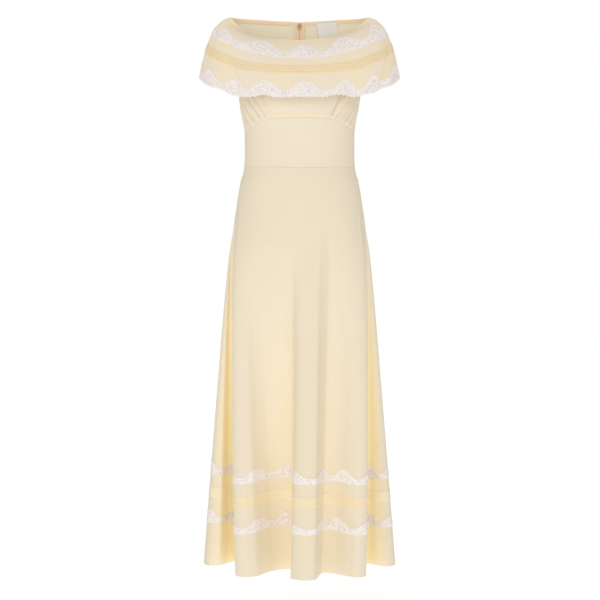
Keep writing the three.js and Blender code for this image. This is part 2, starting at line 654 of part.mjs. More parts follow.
function addCollar() {
  const rows = COLLAR_ROWS;
  const sheet = new Sheet(evenColumns(COLLAR_STEP), rows, (at, row) => collarPoint(at, row / COLLAR_LENGTH));
  addPiece('collar_front', panel(sheet, -SIDE, SIDE), cloth());
  addPiece('collar_back_left', panel(sheet, -BACK, -SIDE), cloth());
  addPiece('collar_back_right', panel(sheet, SIDE, BACK), cloth());
  const [from, to] = [-BACK + TRIM_ENDS, BACK - TRIM_ENDS];
  const { laceUpper, tucks, laceLower } = COLLAR_TRIMS;
  const fine = columnsOf(sheet, from, to, LACE_PARTS);
  const upper = (at) => {
    const rise = collarRise(at);
    return [laceTop(laceUpper, COLLAR_LACE_UPPER, at) - rise, rows[2], laceUpper.low - rise];
  };
  addPiece('collar_lace_upper', bandOn(sheet, fine, upper, { lift: COLLAR_LACE_LIFT }), lace());
  addPiece('collar_tucks', tuckedOn(sheet, columnsOf(sheet, from, to, 1), tucks), doubled());
  const lower = (at) => [laceTop(laceLower, COLLAR_LACE_LOWER, at), laceLower.low];
  addPiece('collar_lace_lower', bandOn(sheet, fine, lower, { lift: COLLAR_LACE_LIFT }), lace());
  return sheet;
}

function bodiceColumns() {
  const gathers = GATHERS.flatMap(({ foot }) => [foot - GATHER_VALLEY, foot]);
  return [...new Set([...gathers, ...BODICE_PLAIN])].sort((a, b) => a - b);
}

function addBodice() {
  const front = new Sheet(bodiceColumns(), BODICE_ROWS, bodicePoint);
  addPiece('bodice_front', panel(front, -SIDE, SIDE), cloth());
  const backs = {};
  for (const [name, way] of [['left', -1], ['right', 1]]) {
    const columns = BODICE_BACK_COLUMNS.map((at) => at * way).sort((a, b) => a - b);
    const back = new Sheet(columns, BODICE_ROWS, bodicePoint);
    addPiece(`bodice_back_${name}`, panel(back, columns[0], columns[columns.length - 1]), cloth());
    backs[name] = back;
  }
  const band = () => [0, UNDERBUST_BAND];
  const columns = columnsOf(front, -SIDE + BAND_ENDS, SIDE - BAND_ENDS, 1);
  addPiece('underbust_band', bandOn(front, columns, band, { wall: 0.8 }), doubled());
  return { front, backs };
}

function addMidriff() {
  const shares = [0, 0.35, 0.7, 1];
  const backs = BODICE_BACK_COLUMNS.slice(1);
  const at = [...backs.map((place) => -place).reverse(), ...bodiceColumns(), ...backs];
  const point = (place, share) => {
    const high = underbustZ(place) - SEAM_GAP;
    const low = waistZ(place) + SEAM_GAP;
    return bodyPoint(place, THREE.MathUtils.lerp(high, low, share));
  };
  const sheet = new Sheet(at, shares, point);
  addPiece('midriff_front', panel(sheet, -SIDE, SIDE), cloth());
  addPiece('midriff_back_left', panel(sheet, -BACK, -SIDE), cloth());
  addPiece('midriff_back_right', panel(sheet, SIDE, BACK), cloth());
  const band = (place) => [1 - WAIST_BAND / (underbustZ(place) - waistZ(place)), 1];
  const columns = columnsOf(sheet, -BACK + TRIM_ENDS, BACK - TRIM_ENDS, 1);
  addPiece('waist_band', bandOn(sheet, columns, band, { wall: 0.8 }), doubled());
  return sheet;
}

function skirtColumns() {
  const columns = [];
  FLUTES.forEach(({ at }, i) => {
    if (i > 0 && at - FLUTES[i - 1].at > FLUTE_MAX_STEP) columns.push((at + FLUTES[i - 1].at) / 2);
    columns.push(at);
  });
  return columns;
}

function addSkirt() {
  const sheet = new Sheet(skirtColumns(), SKIRT_ROWS, skirtPoint);
  addPiece('skirt_front', panel(sheet, -SIDE, SIDE), cloth());
  addPiece('skirt_back_left', panel(sheet, -BACK, -SIDE), cloth());
  addPiece('skirt_back_right', panel(sheet, SIDE, BACK), cloth());
  const [from, to] = [-BACK + TRIM_ENDS, BACK - TRIM_ENDS];
  const { laceUpper, tucks, laceLower } = SKIRT_TRIMS;
  const fine = columnsOf(sheet, from, to, LACE_PARTS);
  const laces = [
    ['skirt_lace_upper', laceUpper, SKIRT_LACE_UPPER],
    ['skirt_lace_lower', laceLower, SKIRT_LACE_LOWER],
  ];
  for (const [name, trim, peaks] of laces) {
    const edges = (at) => [laceTop(trim, peaks, at) - skirtRise(at), trim.low - skirtRise(at)];
    addPiece(name, bandOn(sheet, fine, edges), lace());
  }
  addPiece('skirt_tucks', tuckedOn(sheet, columnsOf(sheet, from, to, 1), tucks, skirtRise), doubled());
  return sheet;
}

// The zip

// Where a column of a back sheet lies that is so far across from the centre back
function placeAcross(sheet, way, across, j) {
  const edge = sheet.columns.findIndex((at) => Math.abs(at - way * BACK) < 1e-6);
  const next = edge - way;
  const wide = Math.abs(sheet.middle[next][j].x - sheet.middle[edge][j].x);
  return sheet.columns[edge] + ((sheet.columns[next] - sheet.columns[edge]) * across) / wide;
}

// The inside of the centre back, from the neck down past the waist: for each row of the three
// sheets a point so far across from the centre, moved in from the cloth
function insideBack(sheets, way, across, distance) {
  return sheets.flatMap(({ sheet, rows }) =>
    rows.map((j) => {
      const column = sheet.columnOf(placeAcross(sheet, way, across, j));
      return sheet.onFace('inner', column, j, -distance);
    }),
  );
}

function addZip(sheets) {
  for (const [name, way] of [['left', -1], ['right', 1]]) {
    const own = sheets[name];
    const edges = (distance) =>
      [ZIP.coilEdge, ZIP.to].map((across) => insideBack(own, way, across, distance));
    addPiece(`zip_tape_${name}`, wallBetween(edges(LIFT), edges(LIFT + ZIP.wall)), tape());
  }
  const coil = (distance) => {
    const line = insideBack(sheets.right, 1, 0, distance);
    const start = (line[0].z - SLIDER.low + SEAM_GAP) / (line[0].z - line[1].z);
    line[0].lerp(line[1], start);
    return [-ZIP.coil, ZIP.coil].map((x) => line.map((point) => new THREE.Vector3(x, point.y, point.z)));
  };
  addPiece('zip_coil', wallBetween(coil(LIFT), coil(LIFT + ZIP.coilWall)), tape());
}

function addBinding(front, backs) {
  const top = (at) => {
    const height = bodiceTop(at).z - underbustZ(at) - BODICE_LEVEL;
    const row = (below) => BODICE_FULL - (below * (BODICE_FULL - BODICE_LEVEL)) / height;
    return [row(BINDING.tall), row(0)];
  };
  const style = { side: 'inner', lift: BINDING.lift, wall: BINDING.wall };
  const ends = SHOULDER_FRONT - 1;
  addPiece('neck_binding_front', bandOn(front, columnsOf(front, -ends, ends, 1), top, style), tape());
  const [from, to] = [SHOULDER_BACK + 0.5, BINDING.ends];
  const right = columnsOf(backs.right, from, to, 1);
  const left = columnsOf(backs.left, -to, -from, 1);
  addPiece('neck_binding_back_right', bandOn(backs.right, right, top, style), tape());
  addPiece('neck_binding_back_left', bandOn(backs.left, left, top, style), tape());
}

function addLabel(back) {
  const rows = (at) => {
    const height = bodiceTop(at).z - underbustZ(at) - BODICE_LEVEL;
    const row = (below) => BODICE_FULL - (below * (BODICE_FULL - BODICE_LEVEL)) / height;
    return [row(LABEL.top + LABEL.tall), row(LABEL.top)];
  };
  const lift = SEAM_GAP * 2 + BINDING.wall;
  const columns = columnsOf(back, LABEL.from, LABEL.to, 1);
  addPiece('label', bandOn(back, columns, rows, { side: 'inner', lift, wall: LABEL.wall }), satin());
}

// An outline in the plane across the dress's width, given as pairs along Y and Z, and made as
// thick as twice the half along X
function crosswise(outline, half) {
  const shape = new THREE.Shape(outline.map(([y, z]) => new THREE.Vector2(y, z)));
  const geometry = new THREE.ExtrudeGeometry(shape, { depth: 2 * half, bevelEnabled: false });
  geometry.translate(0, 0, -half);
  geometry.applyMatrix4(new THREE.Matrix4().set(0, 0, 1, 0, 1, 0, 0, 0, 0, 1, 0, 0, 0, 0, 0, 1));
  return geometry;
}

function addSlider() {
  const { half, low, high, face, back, bevel } = SLIDER;
  const body = [
    [face, low + bevel], [face + bevel, low], [back, low],
    [back, high], [face + bevel, high], [face, high - bevel],
  ];
  addPiece('zip_slider', crosswise(body, half), brass());
  const inner = HINGE.y - BRIDGE.clear;
  const outer = HINGE.y + BRIDGE.clear;
  const roof = HINGE.z + BRIDGE.clear;
  const foot = high + SLIDER.gap;
  const hook = [
    [outer, foot], [outer, roof], [inner, roof], [inner, BRIDGE.tip], [inner - BRIDGE.wall, BRIDGE.tip],
    [inner - BRIDGE.wall, roof + BRIDGE.wall / 2], [inner - BRIDGE.wall / 2, roof + BRIDGE.wall],
    [outer + BRIDGE.wall / 2, roof + BRIDGE.wall], [outer + BRIDGE.wall, roof + BRIDGE.wall / 2],
    [outer + BRIDGE.wall, foot],
  ];
  addPiece('zip_bridge', crosswise(hook, BRIDGE.half), brass());
}

// The pull tab: a drop-shaped loop whose top bar turns under the bridge
function addPullTab() {
  const low = TAB.bar + TAB.half - TAB.long;
  const loop = (inset) => {
    const half = TAB.half - inset;
    const top = inset > 0 ? -TAB.bar : TAB.bar;
    const points = [new THREE.Vector2(-half * TAB.shoulder, top)];
    for (let k = TAB.turns; k >= 0; k -= 1) {
      const angle = (-Math.PI * k) / TAB.turns;
      points.push(new THREE.Vector2(half * Math.cos(angle), low + half * Math.sin(angle)));
    }
    points.push(new THREE.Vector2(half * TAB.shoulder, top));
    return points;
  };
  const shape = new THREE.Shape(loop(0));
  shape.holes.push(new THREE.Path(loop(TAB.wire)));
  const geometry = new THREE.ExtrudeGeometry(shape, { depth: TAB.thick, bevelEnabled: false });
  geometry.translate(0, 0, -TAB.thick / 2);
  geometry.rotateX(Math.PI / 2);
  const tab = addPiece('zip_pull_tab', geometry, brass());
  tab.position.set(0, HINGE.y, HINGE.z);
}

addCollar();
const bodice = addBodice();
const midriff = addMidriff();
const skirt = addSkirt();
const all = (sheet) => sheet.rows.map((row, j) => j);
const backSheets = (way) => [
  { sheet: bodice.backs[way], rows: all(bodice.backs[way]).reverse() },
  { sheet: midriff, rows: all(midriff) },
  { sheet: skirt, rows: all(skirt).slice(0, ZIP.rows) },
];
addZip({ left: backSheets('left'), right: backSheets('right') });
addBinding(bodice.front, bodice.backs);
addLabel(bodice.backs.right);
addSlider();
addPullTab();

export default group;
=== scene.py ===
import logging
from collections.abc import Callable
from dataclasses import dataclass, field

import bmesh
import bpy
import numpy as np
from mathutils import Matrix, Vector


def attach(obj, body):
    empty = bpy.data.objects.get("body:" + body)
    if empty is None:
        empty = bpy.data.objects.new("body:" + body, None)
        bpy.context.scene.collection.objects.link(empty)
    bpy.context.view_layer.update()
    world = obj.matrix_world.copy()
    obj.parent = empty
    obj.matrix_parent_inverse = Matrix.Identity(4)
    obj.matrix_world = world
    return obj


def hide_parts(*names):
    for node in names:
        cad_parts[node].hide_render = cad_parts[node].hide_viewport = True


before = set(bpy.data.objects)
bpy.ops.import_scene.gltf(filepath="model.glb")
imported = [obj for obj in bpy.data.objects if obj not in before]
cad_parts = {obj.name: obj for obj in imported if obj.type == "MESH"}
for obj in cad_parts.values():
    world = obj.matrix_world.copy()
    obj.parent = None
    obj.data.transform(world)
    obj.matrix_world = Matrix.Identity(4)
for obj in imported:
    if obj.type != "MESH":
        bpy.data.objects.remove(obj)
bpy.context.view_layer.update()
logging.basicConfig(level=logging.INFO, format="%(message)s")
log = logging.getLogger("sundress")

MM = 0.001
TINY = 1e-9  # a length that counts as none

# Sizes of the dress in millimetres, +Z up, the front towards -Y. Places round the body are degrees
# from the centre front, negative to the left of a viewer who faces it.

HEM_Z = -1205.0
SIDE = 90.0
BACK = 180.0


@dataclass(frozen=True)
class Section:
    """A level section of the body, without the skirt's flutes."""

    z: float
    half: float
    front: float
    back: float


@dataclass(frozen=True)
class Rib:
    """A rib of the collar, from the neck edge over its crown to its hem."""

    at: float
    neck: tuple[float, float, float]
    crown: tuple[float, float, float]
    hem: tuple[float, float, float]


@dataclass(frozen=True)
class Fold:
    """A soft fold of the collar, which leans from one place to another on its way down."""

    at: float
    to: float
    width: float
    depth: float
    start: float


@dataclass(frozen=True)
class Gather:
    """A gather of the bodice front: its foot on the seam, its depth and its half width."""

    foot: float
    depth: float
    half: float


@dataclass(frozen=True)
class Flute:
    """A place on the skirt's hem: where it hangs from, where it is, and how its fold grows.

    The fold starts at a share of the skirt's length, and swing is the power of its way sideways.
    """

    at: float
    x: float
    y: float
    start: float
    deep: float
    swing: float = 1.0


SECTIONS = (
    Section(10, 150, 62, 80),
    Section(-60, 142, 82, 84),
    Section(-120, 137, 104, 85),
    Section(-176, 133, 111, 84),
    Section(-202, 129, 108, 82),
    Section(-228, 124, 102, 80),
    Section(-256, 120, 97, 78),
    Section(-300, 120, 91, 77),
    Section(-335, 122, 89, 79),
    Section(-360, 129, 93, 85),
    Section(-414, 138, 99, 95),
    Section(-466, 146, 104, 103),
    Section(-519, 155, 107, 108),
    Section(-625, 166, 110, 112),
    Section(-836, 184, 112, 115),
    Section(-1047, 201, 112, 115),
    Section(-1205, 213, 112, 115),
)
BODY_ROUNDNESS = 0.92  # the power of a section's curve, where 1 is an ellipse
# The heights of the two seams, by place
UNDERBUST = ((0, -232), (26, -233), (45, -240), (60, -248), (75, -255), (90, -258), (180, -258))
WAIST = ((0, -338), (90, -332), (180, -334))
UNDERBUST_BAND = 8.5
WAIST_BAND = 7.5

RIBS = (
    Rib(0, (0, -65, -61), (0, -103, -99), (0, -131, -191)),
    Rib(21, (46, -59, -58), (56, -97, -90), (64, -124, -190)),
    Rib(42, (92, -41, -48.5), (118, -76, -51), (128, -97, -186)),
    Rib(60, (122, -24, -35), (158, -52, -26), (172, -66, -166)),
    Rib(75, (141, -11, -18), (186, -24, -10), (205, -32, -147)),
    Rib(90, (154, 0, 0), (199, 3, -4), (220, 6, -129)),
    Rib(106, (141, 25, 3), (182, 42, -6), (203, 50, -132)),
    Rib(124, (115, 46, 5), (148, 70, -12), (166, 86, -135)),
    Rib(142, (80, 63, 6.5), (101, 88, -20), (115, 108, -136)),
    Rib(160, (42, 75, 6.5), (53, 100, -27), (60, 123, -137)),
    Rib(180, (0, 80, 6), (0, 106, -29), (0, 129, -137)),
)
# How far the neck edge sits higher on one side than on the other
NECK_TILT = ((-180, 0), (0, 0), (30, 3), (55, 6), (75, 4), (90, 0), (180, 0))
COLLAR_LENGTH = 152.0
COLLAR_HEM = 148.0  # the row where the cloth ends under the lace edging
CURVE_STEPS = 25  # points along a rib, by which its length is measured
COLLAR_FOLDS = (
    Fold(-74, -41, 5, -5, 0.05),
    Fold(-38, -36, 9, 3, 0.4),
    Fold(-14, -16, 10, -3, 0.55),
    Fold(34, 38, 8, -4, 0.5),
    Fold(94, 62, 4.5, -5, 0.3),
    Fold(112, 108, 8, -4, 0.35),
    Fold(148, 152, 10, 4, 0.4),
    Fold(-106, -110, 8, -4, 0.35),
    Fold(-146, -150, 10, 4, 0.4),
)

# The collar's place that each place of the bodice's top edge lies inside
NECK_MATCH = ((0, 0), (20, 24), (40, 50), (60, 86), (120, 94), (140, 124), (160, 152), (180, 180))
NECK_LAYER = 3.4  # how far the bodice's top lies inside the neck edge
NECK_AHEAD = 2.0  # how much more the neck's layers spread to the front and back than sideways
SHELL_BLEND_Z = -172.0  # where the bodice starts to leave the body's sections for its top edge
SHOULDER_FRONT = 60.0
SHOULDER_BACK = 120.0
# The armhole's edge: the place, and x, y and z
ARMHOLE = (
    (60, 149, -3, -8),
    (66, 137, -30, -62),
    (76, 131, -36, -116),
    (90, 134, 0, -150),
    (104, 131, 34, -116),
    (114, 138, 28, -60),
    (120, 149, 6, -4),
)
GATHERS = (
    Gather(-74, 2.2, 3.2),
    Gather(-65.5, 3.1, 3.0),
    Gather(-54.5, 3.8, 3.4),
    Gather(-43.5, 4.3, 3.2),
    Gather(-35.3, 3.8, 1.7),
    Gather(-30.2, 3.1, 1.5),
    Gather(-24.5, 0.8, 2.6),
    Gather(25, 0.8, 3.0),
    Gather(33.4, 3.1, 1.8),
    Gather(38.3, 3.4, 1.5),
    Gather(42.2, 3.4, 1.3),
    Gather(46.2, 3.4, 1.6),
    Gather(53.5, 3.8, 2.6),
    Gather(64, 2.9, 3.2),
)
GATHER_START = 7.0  # height above the seam at which the gathers have their whole depth
GATHER_FADE = 34.0  # height from which they fade
GATHER_RISE = 86.0  # height at which they have died out
GATHER_SPREAD = 1.75  # how many half widths a gather spreads at its foot
GATHER_AHEAD = 1.6  # how much more they stand out to the front than sideways
# How far the gathers lean outwards, in degrees, at LEAN_AT above the seam
LEAN = ((0, 0), (20, 1), (26, 4), (32, 10), (38, 13.5), (49, 14.5), (60, 13), (76, 6), (90, 0), (180, 0))
LEAN_AT = 46.0
LEAN_FULL = 58.0  # height up to which they lean
LEAN_END = 110.0  # height from which they stand upright

FLUTES = (
    Flute(-180, 4, 139, 0.3, 0.1),
    Flute(-173, -16, 150, 0.25, 0.0),
    Flute(-165, -38, 137, 0.25, 0.2),
    Flute(-157, -50, 98, 0.3, 0.7),
    Flute(-149, -64, 80, 0.3, 1.0),
    Flute(-141, -84, 94, 0.25, 0.7),
    Flute(-133, -104, 128, 0.2, 0.1),
    Flute(-125, -126, 132, 0.2, 0.0),
    Flute(-117, -143, 106, 0.25, 0.5),
    Flute(-110, -158, 78, 0.25, 0.9),
    Flute(-104, -184, 84, 0.2, 0.5),
    Flute(-98, -207, 78, 0.15, 0.2),
    Flute(-94, -213, 40, 0.12, 0.3),
    Flute(-90, -200, 4, 0.12, 0.4),
    Flute(-86.5, -178, 4, 0.12, 0.7, 1.2),
    Flute(-82.5, -158, 40, 0.1, 1.0, 1.15),
    Flute(-79, -144, 50, 0.1, 1.0, 1.1),
    Flute(-76, -139, 8, 0.1, 0.8, 1.05),
    Flute(-72, -137.5, -56, 0.1, 0.4, 1.1),
    Flute(-67, -135.5, -104, 0.1, 0.1, 1.3),
    Flute(-59, -116, -122, 0.15, 0.0, 1.2),
    Flute(-50, -92, -113, 0.18, 0.1, 1.1),
    Flute(-41, -72, -76, 0.2, 0.2),
    Flute(-32, -52, -48, 0.2, 0.3),
    Flute(-20, -34, -37, 0.2, 0.5),
    Flute(-10, -21, -35, 0.2, 0.7),
    Flute(-4.5, -14, -50, 0.2, 0.7),
    Flute(-2, -15, -92, 0.2, 0.5),
    Flute(1, -18.5, -130, 0.2, 0.2),
    Flute(5, -6, -150, 0.2, 0.0),
    Flute(9, 12, -157, 0.2, 0.0),
    Flute(13, 31, -151, 0.18, 0.1),
    Flute(17.5, 40, -114, 0.14, 0.3),
    Flute(25, 49, -75, 0.12, 0.5),
    Flute(37, 74, -84, 0.12, 0.2),
    Flute(47, 100, -110, 0.15, 0.0),
    Flute(57, 121, -125, 0.15, 0.0, 1.2),
    Flute(66, 140.5, -108, 0.1, 0.1, 1.35),
    Flute(71.5, 142, -56, 0.1, 0.4, 1.12),
    Flute(76, 143.5, -4, 0.1, 0.9, 1.05),
    Flute(80, 152, 26, 0.1, 1.0, 1.1),
    Flute(85, 172, 6, 0.12, 0.8, 1.2),
    Flute(90, 194, -5, 0.12, 0.4),
    Flute(94.5, 210, 12, 0.12, 0.3),
    Flute(99, 213, 52, 0.15, 0.2),
    Flute(105, 200, 88, 0.2, 0.4),
    Flute(112, 178, 94, 0.25, 0.6),
    Flute(119, 158, 76, 0.25, 0.9),
    Flute(127, 138, 90, 0.2, 0.5),
    Flute(135, 116, 128, 0.2, 0.1),
    Flute(143, 92, 136, 0.25, 0.0),
    Flute(151, 72, 106, 0.3, 0.4),
    Flute(158, 58, 82, 0.3, 1.0),
    Flute(166, 40, 88, 0.3, 0.7),
    Flute(173, 22, 118, 0.3, 0.3),
    Flute(180, 4, 139, 0.3, 0.1),
)
SKIRT_LENGTH = 870.0
FLUTE_GROWTH = 0.85  # the power by which a flute deepens on its way down
# A tuck's section: shares of its pitch and heights
TUCK_FOLD = ((0.0, 0.0), (0.12, 0.05), (0.26, 0.5), (0.6, 0.65), (0.82, 0.65), (0.92, 0.4), (0.96, 0.0))
TUCK_COUNT = 5
BACK_GAP = 0.4  # degrees between a trim's end and the centre back

LOOP_BEAT = 47.0  # how often the small loops of a lace swell round the body
LOOP_UNEVEN = 0.25  # how much they swell
WAVE_POWER = 1.15  # above 1, the lace's peaks are narrower than its valleys
HEM_SCALLOP = 2.9  # degrees from one scallop of the collar's hem to the next

# Peaks of the laces: the place of each in degrees and its height as a share of the full one
COLLAR_LACE_UPPER = (
    (-180, 1), (-150, 1), (-122, 1), (-99, 1), (-73, 0.7), (-29.5, 1.13), (3, 1), (36.5, 1.13),
    (75, 1.15), (97, 1), (123, 1), (151, 1), (180, 1),
)
COLLAR_LACE_LOWER = (
    (-180, 1), (-156, 1), (-132, 1), (-110, 1), (-91, 0.9), (-73, 0.85), (-45, 1), (-25, 1), (3.5, 1),
    (33.5, 1), (54, 0.85), (80, 0.85), (97, 0.9), (114, 1), (135, 1), (157, 1), (180, 1),
)
SKIRT_LACE_UPPER = (
    (-180, 1), (-167, 1), (-152, 1), (-139, 1), (-127, 1), (-114, 1), (-104, 1), (-93, 1.1),
    (-79, 0.6), (-68, 0.4), (-48, 0.85), (-9.5, 1.15), (0.5, 0.9), (21, 0.9), (43, 0.95), (67, 0.6),
    (82, 1), (93, 0.6), (105, 1), (117, 1), (129, 1), (141, 1), (154, 1), (168, 1), (180, 1),
)
SKIRT_LACE_LOWER = (
    (-180, 1), (-167, 1), (-152, 1), (-139, 1), (-127, 1), (-114, 1), (-104, 1), (-91, 1),
    (-79, 0.5), (-68, 0.4), (-48, 0.9), (-12, 1.15), (0, 0.6), (19.5, 0.7), (38, 1), (65, 0.8),
    (80, 1), (93, 0.6), (105, 1), (117, 1), (129, 1), (141, 1), (154, 1), (168, 1), (180, 1),
)
# How far the trims lie above their level, round the body: on the skirt, along the collar's hem, and
# on the collar's upper lace
SKIRT_RISE = (
    (-180, 0), (-105, 1), (-90, 2.5), (-80, 2), (-67, -4), (-59, -3), (-50, -1), (-41, 2.5), (-30, 5),
    (-22, 6), (-6, 5), (0, 1.5), (20, 1), (37, 0), (50, -4), (62, -5), (72, -5), (82, -7), (92, -7),
    (104, -4), (120, 0), (180, 0),
)
COLLAR_HEM_RISE = (
    (-180, 0), (-70, 0), (-57, 3), (-46, 1), (-32, 1), (-25, 5), (-17, 0), (0, 0), (15, 0), (28, 6),
    (38, 1), (47, 4), (55, 0), (180, 0),
)
COLLAR_RISE = (
    (-180, 0), (-95, 0), (-75, 2), (-56, 4), (-35, 3), (-15, 0), (15, 0), (35, 2), (56, 3), (95, 0),
    (180, 0),
)


# Curves and surfaces


class Track:
    """A smooth curve through the rows of a table, which never swings past them."""

    def __init__(self, places: list[float], values: list[float]) -> None:
        """Finds the curve's tangents.

        Args:
            places: Where the rows are, rising or falling.
            values: The value at each row.
        """
        x, y = np.array(places, float), np.array(values, float)
        if x[0] > x[-1]:
            x, y = x[::-1], y[::-1]
        slopes = np.diff(y) / np.diff(x)
        product = slopes[:-1] * slopes[1:]
        total = slopes[:-1] + slopes[1:]
        inner = np.where(product > 0, 2 * product / np.where(total == 0, 1, total), 0)
        self.x, self.y = x, y
        self.tangents = np.concatenate([slopes[:1], inner, slopes[-1:]])

    def __call__(self, at: np.ndarray) -> np.ndarray:
        """Returns the curve's values at the places given."""
        at = np.clip(np.asarray(at, float), self.x[0], self.x[-1])
        i = np.clip(np.searchsorted(self.x, at, side="right") - 1, 0, len(self.x) - 2)
        step = self.x[i + 1] - self.x[i]
        t = (at - self.x[i]) / step
        rise = 3 * t**2 - 2 * t**3
        low = self.tangents[i] * step * (t**3 - 2 * t**2 + t)
        high = self.tangents[i + 1] * step * (t**3 - t**2)
        return self.y[i] * (1 - rise) + self.y[i + 1] * rise + low + high


def smooth(x: np.ndarray, low: float, high: float) -> np.ndarray:
    """Returns a soft step from 0 at low to 1 at high."""
    t = np.clip((np.asarray(x, float) - low) / (high - low), 0, 1)
    return t * t * (3 - 2 * t)


def bell(x: np.ndarray, width: float) -> np.ndarray:
    """Returns a bell of height 1 that falls away over the width."""
    return np.exp(-((x / width) ** 2))


def flat_unit(x: np.ndarray, y: np.ndarray) -> np.ndarray:
    """Returns the level direction of length 1 along x and y."""
    size = np.hypot(x, y)
    size = np.where(size < TINY, 1, size)
    return np.stack([x / size, y / size, np.zeros_like(size)], axis=-1)


def neck_outward(neck: np.ndarray) -> np.ndarray:
    """Returns the level way out of the neck opening at points of its edge."""
    return flat_unit(neck[..., 0], neck[..., 1] * NECK_AHEAD)


class Form:
    """A surface of the dress, read by a place round the body in degrees and a row."""

    NEAR_AT = 0.3
    NEAR_ROW = 0.6

    def point(self, at: np.ndarray, row: np.ndarray) -> np.ndarray:
        """Returns the points at the places and rows."""
        raise NotImplementedError

    def frame(self, at: np.ndarray, row: np.ndarray) -> tuple[np.ndarray, np.ndarray]:
        """Finds points and the way out of the garment there.

        Args:
            at: Places round the body.
            row: Rows of the surface.

        Returns:
            The points, and the unit normals that point out of the garment.
        """
        at, row = np.broadcast_arrays(np.asarray(at, float), np.asarray(row, float))
        across = self.point(at + self.NEAR_AT, row) - self.point(at - self.NEAR_AT, row)
        along = self.point(at, row + self.NEAR_ROW) - self.point(at, row - self.NEAR_ROW)
        normal = np.cross(across, along)
        normal *= np.where(along[..., 2:] > 0, 1.0, -1.0)
        size = np.linalg.norm(normal, axis=-1, keepdims=True)
        return self.point(at, row), normal / np.where(size < TINY, 1, size)


class BodyForm(Form):
    """The body's level sections, from the shoulders to the hem."""

    half = Track([s.z for s in SECTIONS], [s.half for s in SECTIONS])
    front = Track([s.z for s in SECTIONS], [s.front for s in SECTIONS])
    back = Track([s.z for s in SECTIONS], [s.back for s in SECTIONS])
    underbust = Track(*zip(*UNDERBUST))
    waist = Track(*zip(*WAIST))

    def level(self, at: np.ndarray, z: np.ndarray) -> np.ndarray:
        """Returns the section's points at a height."""
        across, ahead = np.sin(np.radians(at)), np.cos(np.radians(at))
        deep = np.where(ahead > 0, self.front(z), self.back(z))
        x = self.half(z) * np.sign(across) * np.abs(across) ** BODY_ROUNDNESS
        y = -deep * np.sign(ahead) * np.abs(ahead) ** BODY_ROUNDNESS
        return np.stack([x, y, np.broadcast_to(z, x.shape)], axis=-1)


class MidriffForm(BodyForm):
    """The midriff, whose rows run in millimetres down from the underbust seam."""

    TALL = 100.0

    def point(self, at: np.ndarray, row: np.ndarray) -> np.ndarray:
        """Returns the points at the places and rows."""
        high, low = self.underbust(np.abs(at)), self.waist(np.abs(at))
        return self.level(at, high + (low - high) * row / self.TALL)


class CollarForm(Form):
    """The cape collar, whose rows run in millimetres from the neck edge to the hem."""

    def __init__(self) -> None:
        """Makes the tracks of the neck edge, the crown and the hem."""
        self.tilt = Track(*zip(*NECK_TILT))
        places = [rib.at for rib in RIBS]
        self.edges = {
            edge: [Track(places, [getattr(rib, edge)[axis] for rib in RIBS]) for axis in range(3)]
            for edge in ("neck", "crown", "hem")
        }

    def edge(self, name: str, at: np.ndarray) -> np.ndarray:
        """Returns the points of one of the collar's three edges."""
        x, y, z = (track(np.abs(at)) for track in self.edges[name])
        if name == "neck":
            z = z + self.tilt(at)
        return np.stack([np.where(at < 0, -x, x), y, z], axis=-1)

    def point(self, at: np.ndarray, row: np.ndarray) -> np.ndarray:
        """Returns the points at the places and rows."""
        at, row = np.broadcast_arrays(np.asarray(at, float), np.asarray(row, float))
        neck, crown, hem = (self.edge(name, at) for name in ("neck", "crown", "hem"))
        share = row / COLLAR_LENGTH
        steps = np.linspace(0, 1, CURVE_STEPS)

        def curve(t: np.ndarray) -> np.ndarray:
            """Returns the rib's points at the parameter."""
            t = t[..., None]
            return neck * (1 - t) ** 2 + crown * 2 * t * (1 - t) + hem * t**2

        walk = [np.zeros_like(share)]
        last = curve(np.zeros_like(share))
        for step in steps[1:]:
            here = curve(np.full_like(share, step))
            walk.append(walk[-1] + np.linalg.norm(here - last, axis=-1))
            last = here
        walk = np.stack(walk)
        want = share * walk[-1]
        i = np.clip((walk < want).sum(axis=0) - 1, 0, len(steps) - 2)
        low = np.take_along_axis(walk, i[None], 0)[0]
        high = np.take_along_axis(walk, i[None] + 1, 0)[0]
        t = steps[i] + (want - low) / (high - low) * (steps[1] - steps[0])
        point = curve(t)
        outward = flat_unit(point[..., 0], point[..., 1])
        for fold in COLLAR_FOLDS:
            place = fold.at + (fold.to - fold.at) * share
            depth = fold.depth * bell(at - place, fold.width) * smooth(share, fold.start, 1)
            point = point + outward * depth[..., None]
        return point


